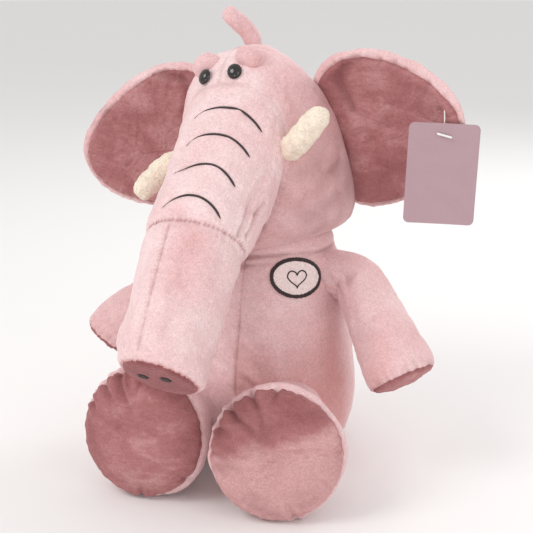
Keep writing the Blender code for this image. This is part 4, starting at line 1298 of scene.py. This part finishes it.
def make_tag():
    to_row = Matrix.Translation(pivot("tag_swing")) @ Matrix.Rotation(TAG_YAW, 4, "Z")
    curve = bpy.data.curves.new("tag_card", "CURVE")
    curve.dimensions, curve.fill_mode = "2D", "BOTH"
    bevel = 0.00012
    curve.extrude, curve.bevel_depth, curve.bevel_resolution = TAG_THICKNESS / 2 - bevel, bevel, 2
    hole_up = TAG_HEIGHT / 2 - TAG_HOLE_DEPTH
    hole = [(0.0014 * cos(2 * pi * i / 20), hole_up + 0.0014 * sin(2 * pi * i / 20)) for i in range(20)]
    for points in (rounded_box_outline(TAG_WIDTH, TAG_HEIGHT, 0.0042), hole):
        spline = curve.splines.new("POLY")
        spline.points.add(len(points) - 1)
        for point, (x, y) in zip(spline.points, points):
            point.co = (x, y, 0, 1)
        spline.use_cyclic_u = True
    holder = new_object("tag_curve", curve)
    bpy.context.view_layer.update()
    mesh = evaluated_mesh(holder)
    bpy.data.objects.remove(holder)
    bm = bmesh.new()
    bm.from_mesh(mesh)
    bmesh.ops.remove_doubles(bm, verts=bm.verts, dist=0.00001)
    for cut in np.linspace(-0.9, 0.9, 15):
        for normal, at in (((1, 0, 0), (cut * TAG_WIDTH / 2, 0, 0)), ((0, 1, 0), (0, cut * TAG_HEIGHT / 2, 0))):
            bmesh.ops.bisect_plane(bm, geom=bm.verts[:] + bm.edges[:] + bm.faces[:], plane_co=at, plane_no=normal)
    bmesh.ops.recalc_face_normals(bm, faces=bm.faces)
    for face in bm.faces:
        face.material_index = int(abs(face.normal.z) < 0.8)
    for vert in bm.verts:
        x, y = vert.co.x, vert.co.y
        vert.co.z += 0.0009 * (x / 0.027) ** 2 + 0.0007 * (y / 0.039) ** 2 * (y < 0) - 0.0004
    bm.to_mesh(mesh)
    bm.free()
    card = new_object("tag_card", mesh)
    swing = placed((0, -TAG_STANDOFF, -TAG_DROP - TAG_HOLE_DEPTH), (0, TAG_LEAN, 0))
    lean = swing @ placed((0, 0, -hole_up), (radians(90), 0, 0))
    mesh.transform(to_row @ lean)
    finished(card, CARD_FACE, ["tag_card"])
    card.data.materials.append(CARD_SIDE)
    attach(card, "tag")

    front, hole_z = -TAG_STANDOFF - 0.0019, -TAG_DROP - TAG_HOLE_DEPTH
    route = [(0, 0.0105, 0), (0, 0.002, 0.0002), (0, -0.0060, 0.0012), (0, -0.0110, -0.0016),
             (0, -0.0125, -0.0080), (0, -0.0128, -0.0150), (0, -0.0140, hole_z + 0.0012), (0, front, hole_z)]
    filament = rings_of([(*p, 0.0005) for p in route], 10, (1, 0, 0), 0.0006)
    pieces = [ring_object("filament", filament)]
    for at, tilt in (((0, front, hole_z), 0.0016), ((0, 0.0105, 0), 0.0020)):
        x, y, z = at
        bar = [(-0.0060, y, z + tilt, 0.0), (-0.0058, y, z + tilt, 0.0007), (-0.0050, y, z + tilt * 0.85, 0.0010),
               (0.0, y - 0.0003, z, 0.00085), (0.0050, y, z - tilt * 0.85, 0.0010), (0.0058, y, z - tilt, 0.0007),
               (0.0060, y, z - tilt, 0.0)]
        pieces.append(ring_object("bar", rings_of(bar, 12, (0, -1, 0), 0.0006)))
    fastener = voxel_joined("tag_fastener", pieces, 0.00022, 3)
    fastener.data.transform(to_row)
    finished(fastener, FASTENER, ["tag_fastener"])
    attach(fastener, "tag")


# Everything in order: shapes, cloth, detail, panels, joints

body, head = make_body(), make_head()
ears = {side: make_ear(side, sign) for side, sign in SIDES}
arms, legs = {}, {}
for side, sign in SIDES:
    arms[side] = limb(f"arm_{side}", arm_frame(side, sign), ARM_STATIONS, (sign * 0.034, 0.004, 0.150), 72,
                      HAND_PAD_RADIUS, HAND_EDGE, slant=(0, -0.22, 0.24))
    hip = pivot(f"leg_swing_{side}")
    root = (hip.x * 0.62, hip.y * 0.45, hip.z - 0.001)
    legs[side] = limb(f"leg_{side}", leg_frame(side), LEG_STATIONS, root, 108, SOLE_RADIUS + 0.003, SOLE_EDGE)
for part, held in scene_parts:
    add_cloth(part, held)
simulate([part for part, _ in scene_parts])
for part, _ in scene_parts:
    subdivided(part)

sculpt(body, BODY, body_relief)
sculpt(head, HEAD, whole_head_relief)
for side, sign in SIDES:
    sculpt(arms[side], arm_frame(side, sign), arm_relief(side, sign))
    sculpt(legs[side], leg_frame(side), leg_relief(side, sign), floor=0.0004)
    sculpt(ears[side], ear_frame(side, sign), ear_relief(side, sign))


# Each point's tone: the cloth's own tone, with painted light and shade in it.
def set_tone_and_painted_light(obj, to_row, tone_and_painted_light_of):
    write_attribute(obj, "tone_and_painted_light", tone_and_painted_light_of(points_in(to_row, obj)))


def add_crease_shade(obj, to_row, shade_of):
    # Painted shade, added to the shade already painted in the folds.
    crease_shade = np.zeros(len(obj.data.vertices))
    obj.data.attributes["crease_shade"].data.foreach_get("value", crease_shade)
    extra = shade_of(points_in(to_row, obj))
    write_attribute(obj, "crease_shade", np.clip(crease_shade + extra, 0, 1))


# The head's tone, with painted light: a painted highlight on the forward-facing brow and painted shade on the
# cheeks at the sides. The muzzle and the trunk are lighter, the upper trunk deeper along its left side, and the
# tip pad deeper.
def head_tone_and_painted_light(p):
    t = apply_matrix(TRUNK_FROM_HEAD, p)
    on_trunk = -0.12 + ridge(t[:, 0], 0.18, 0.014, at=0.016) * (1 - smooth_step(-t[:, 2], 0.045, 0.075))
    on_muzzle = smooth_step(muzzle_gap(p)[0], -0.006, 0.004)
    frontal = smooth_step(-p[:, 1] / np.maximum(off_axis(p), 0.01), 0.45, 0.90)
    # Painted highlight on the brow where it faces forwards.
    brow = frontal * smooth_step(p[:, 2], 0.085, 0.115)
    # Painted shade on the cheeks, at the sides of the head.
    cheek_shade = ridge(p[:, 2], 1, 0.030, at=0.088) * (1 - frontal)
    on_face = 0.04 - 0.17 * on_muzzle - 0.34 * brow * (1 - on_muzzle) + 0.16 * cheek_shade * (1 - on_muzzle)
    share = smooth_step(-t[:, 2], -0.004, 0.004)
    tip = 0.45 * (t[:, 2] < -0.105) * (off_axis(t) < TRUNK_PAD_RADIUS + 0.001)
    return on_face * (1 - share) + on_trunk * share + tip


def head_shade(p):
    """Painted shade low on the sides of the head, off the muzzle."""
    side = smooth_step(np.abs(p[:, 0]), 0.020, 0.050) * (muzzle_side(p) < -0.002)
    return 0.85 * side * (1 - smooth_step(p[:, 2], 0.045, 0.095)) * (0.75 + 0.35 * waves(p, 0.020, 27))


def body_tone_and_painted_light(p):
    """Painted shade on the front of the body: the left panel is deeper low down, up to its middle seam, and deeper
    round its left side. Below the neck the whole body is a little lighter.
    """
    x, y, z = p.T
    low = (1 - smooth_step(z, 0.040, 0.140)) * smooth_step(x, -0.004, 0.002)
    deeper = smooth_step(-y, -0.030, 0.020) * (0.36 * low + 0.20 * smooth_step(x, 0.040, 0.064))
    return deeper - 0.10 * (1 - smooth_step(z, 0.150, 0.165))


def tilt_tip(head):
    """The trunk's end is cut on a slant: it is longer on its left."""
    t = points_in(TRUNK, head)
    low = smooth_step(-t[:, 2], 0.070, 0.105) * (off_axis(t) < 0.045)
    t[:, 2] -= TIP_SLANT * t[:, 0] * low
    set_co(head.data, apply_matrix(TRUNK, t))


def leg_tone_and_painted_light(side):
    """The soles: the left one is deeper at its top and has a painted sheen below it, and the right one is deeper
    round its edge and has a painted sheen low down.
    """
    up = np.array(leg_frame(side).inverted().to_3x3() @ Vector((-0.30, 0, 0.95)))

    def tone_and_painted_light(p):
        height = p @ up / SOLE_RADIUS
        if side == "left":
            tone = 0.20 - 0.52 * smooth_step(-height, -0.65, 0.10)
        else:
            tone = 0.02 + 0.14 * smooth_step(off_axis(p), 0.030, 0.050) - 0.10 * smooth_step(-height, 0.1, 0.7)
        return np.where(p[:, 2] < SOLE_EDGE, tone, -0.04)
    return tone_and_painted_light


set_tone_and_painted_light(body, BODY, body_tone_and_painted_light)
set_tone_and_painted_light(head, HEAD, head_tone_and_painted_light)
add_crease_shade(head, HEAD, head_shade)
tilt_tip(head)
for side, sign in SIDES:
    set_tone_and_painted_light(arms[side], arm_frame(side, sign), lambda p: -0.06 + 0.10 * smooth_step(-p[:, 2], 0.04, 0.08))
    set_tone_and_painted_light(legs[side], leg_frame(side), leg_tone_and_painted_light(side))
    set_tone_and_painted_light(ears[side], ear_frame(side, sign), lambda p: 0.05 * waves(p, 0.05, 5))

body_pieces = part_panels(body, ["body_skin_left", "body_skin_right", "body_base_panel"])
for name, piece in body_pieces.items():
    finished(piece, SKIN, [name] + (["body_filling"] if name == "body_skin_left" else []))
    if name == "body_base_panel":
        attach(piece, "torso")
    else:
        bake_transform(piece)
make_patch(surface_of(body_pieces["body_skin_left"], body_pieces["body_skin_right"]))

FILLED = {"muzzle_skin": "head_filling", "trunk_skin_left": "trunk_filling"}
head_pieces = part_panels(head, HEAD_PANELS)
make_wrinkles(surface_of(*(head_pieces[name] for name in HEAD_PANELS[:3])))
make_nostrils(surface_of(head_pieces["trunk_tip_pad"]))
make_cross_stitches(surface_of(*(head_pieces[name] for name in HEAD_PANELS[2:5])))
for name, piece in head_pieces.items():
    stands_for = [name] + ([FILLED[name]] if name in FILLED else [])
    if name == "trunk_tip_pad":
        finished(piece, MAUVE, stands_for)
        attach(piece, "trunk")
        continue
    finished(piece, SKIN, stands_for)
    if name.startswith("trunk"):
        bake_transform(piece)
    else:
        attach(piece, "head")

for side, sign in SIDES:
    to_row = ear_frame(side, sign)
    for name, piece in part_panels(ears[side], [f"ear_back_{side}", f"ear_lining_{side}"]).items():
        is_lining = name.startswith("ear_lining")
        finished(piece, MAUVE if is_lining else SKIN, [name])
        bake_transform(piece)
    for kind, limbs, pad, to_row, fill, first, last in (
            ("arm", arms, "hand_pad", arm_frame(side, sign), 0.7, 0.018, -0.016),
            ("leg", legs, "sole_pad", leg_frame(side), 0.8, 0.020, -0.018)):
        for name, piece in part_panels(limbs[side], [f"{kind}_skin_{side}", f"{pad}_{side}"]).items():
            if name.startswith(pad):
                finished(piece, MAUVE, [name])
                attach(piece, f"{kind}_{side}")
            else:
                finished(piece, SKIN, [name, f"{kind}_filling_{side}"])
                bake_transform(piece)
    make_tusk(side, sign)
    make_brow(side, sign)
    make_eye(side, sign)
make_tuft()
make_tail()
make_tag()
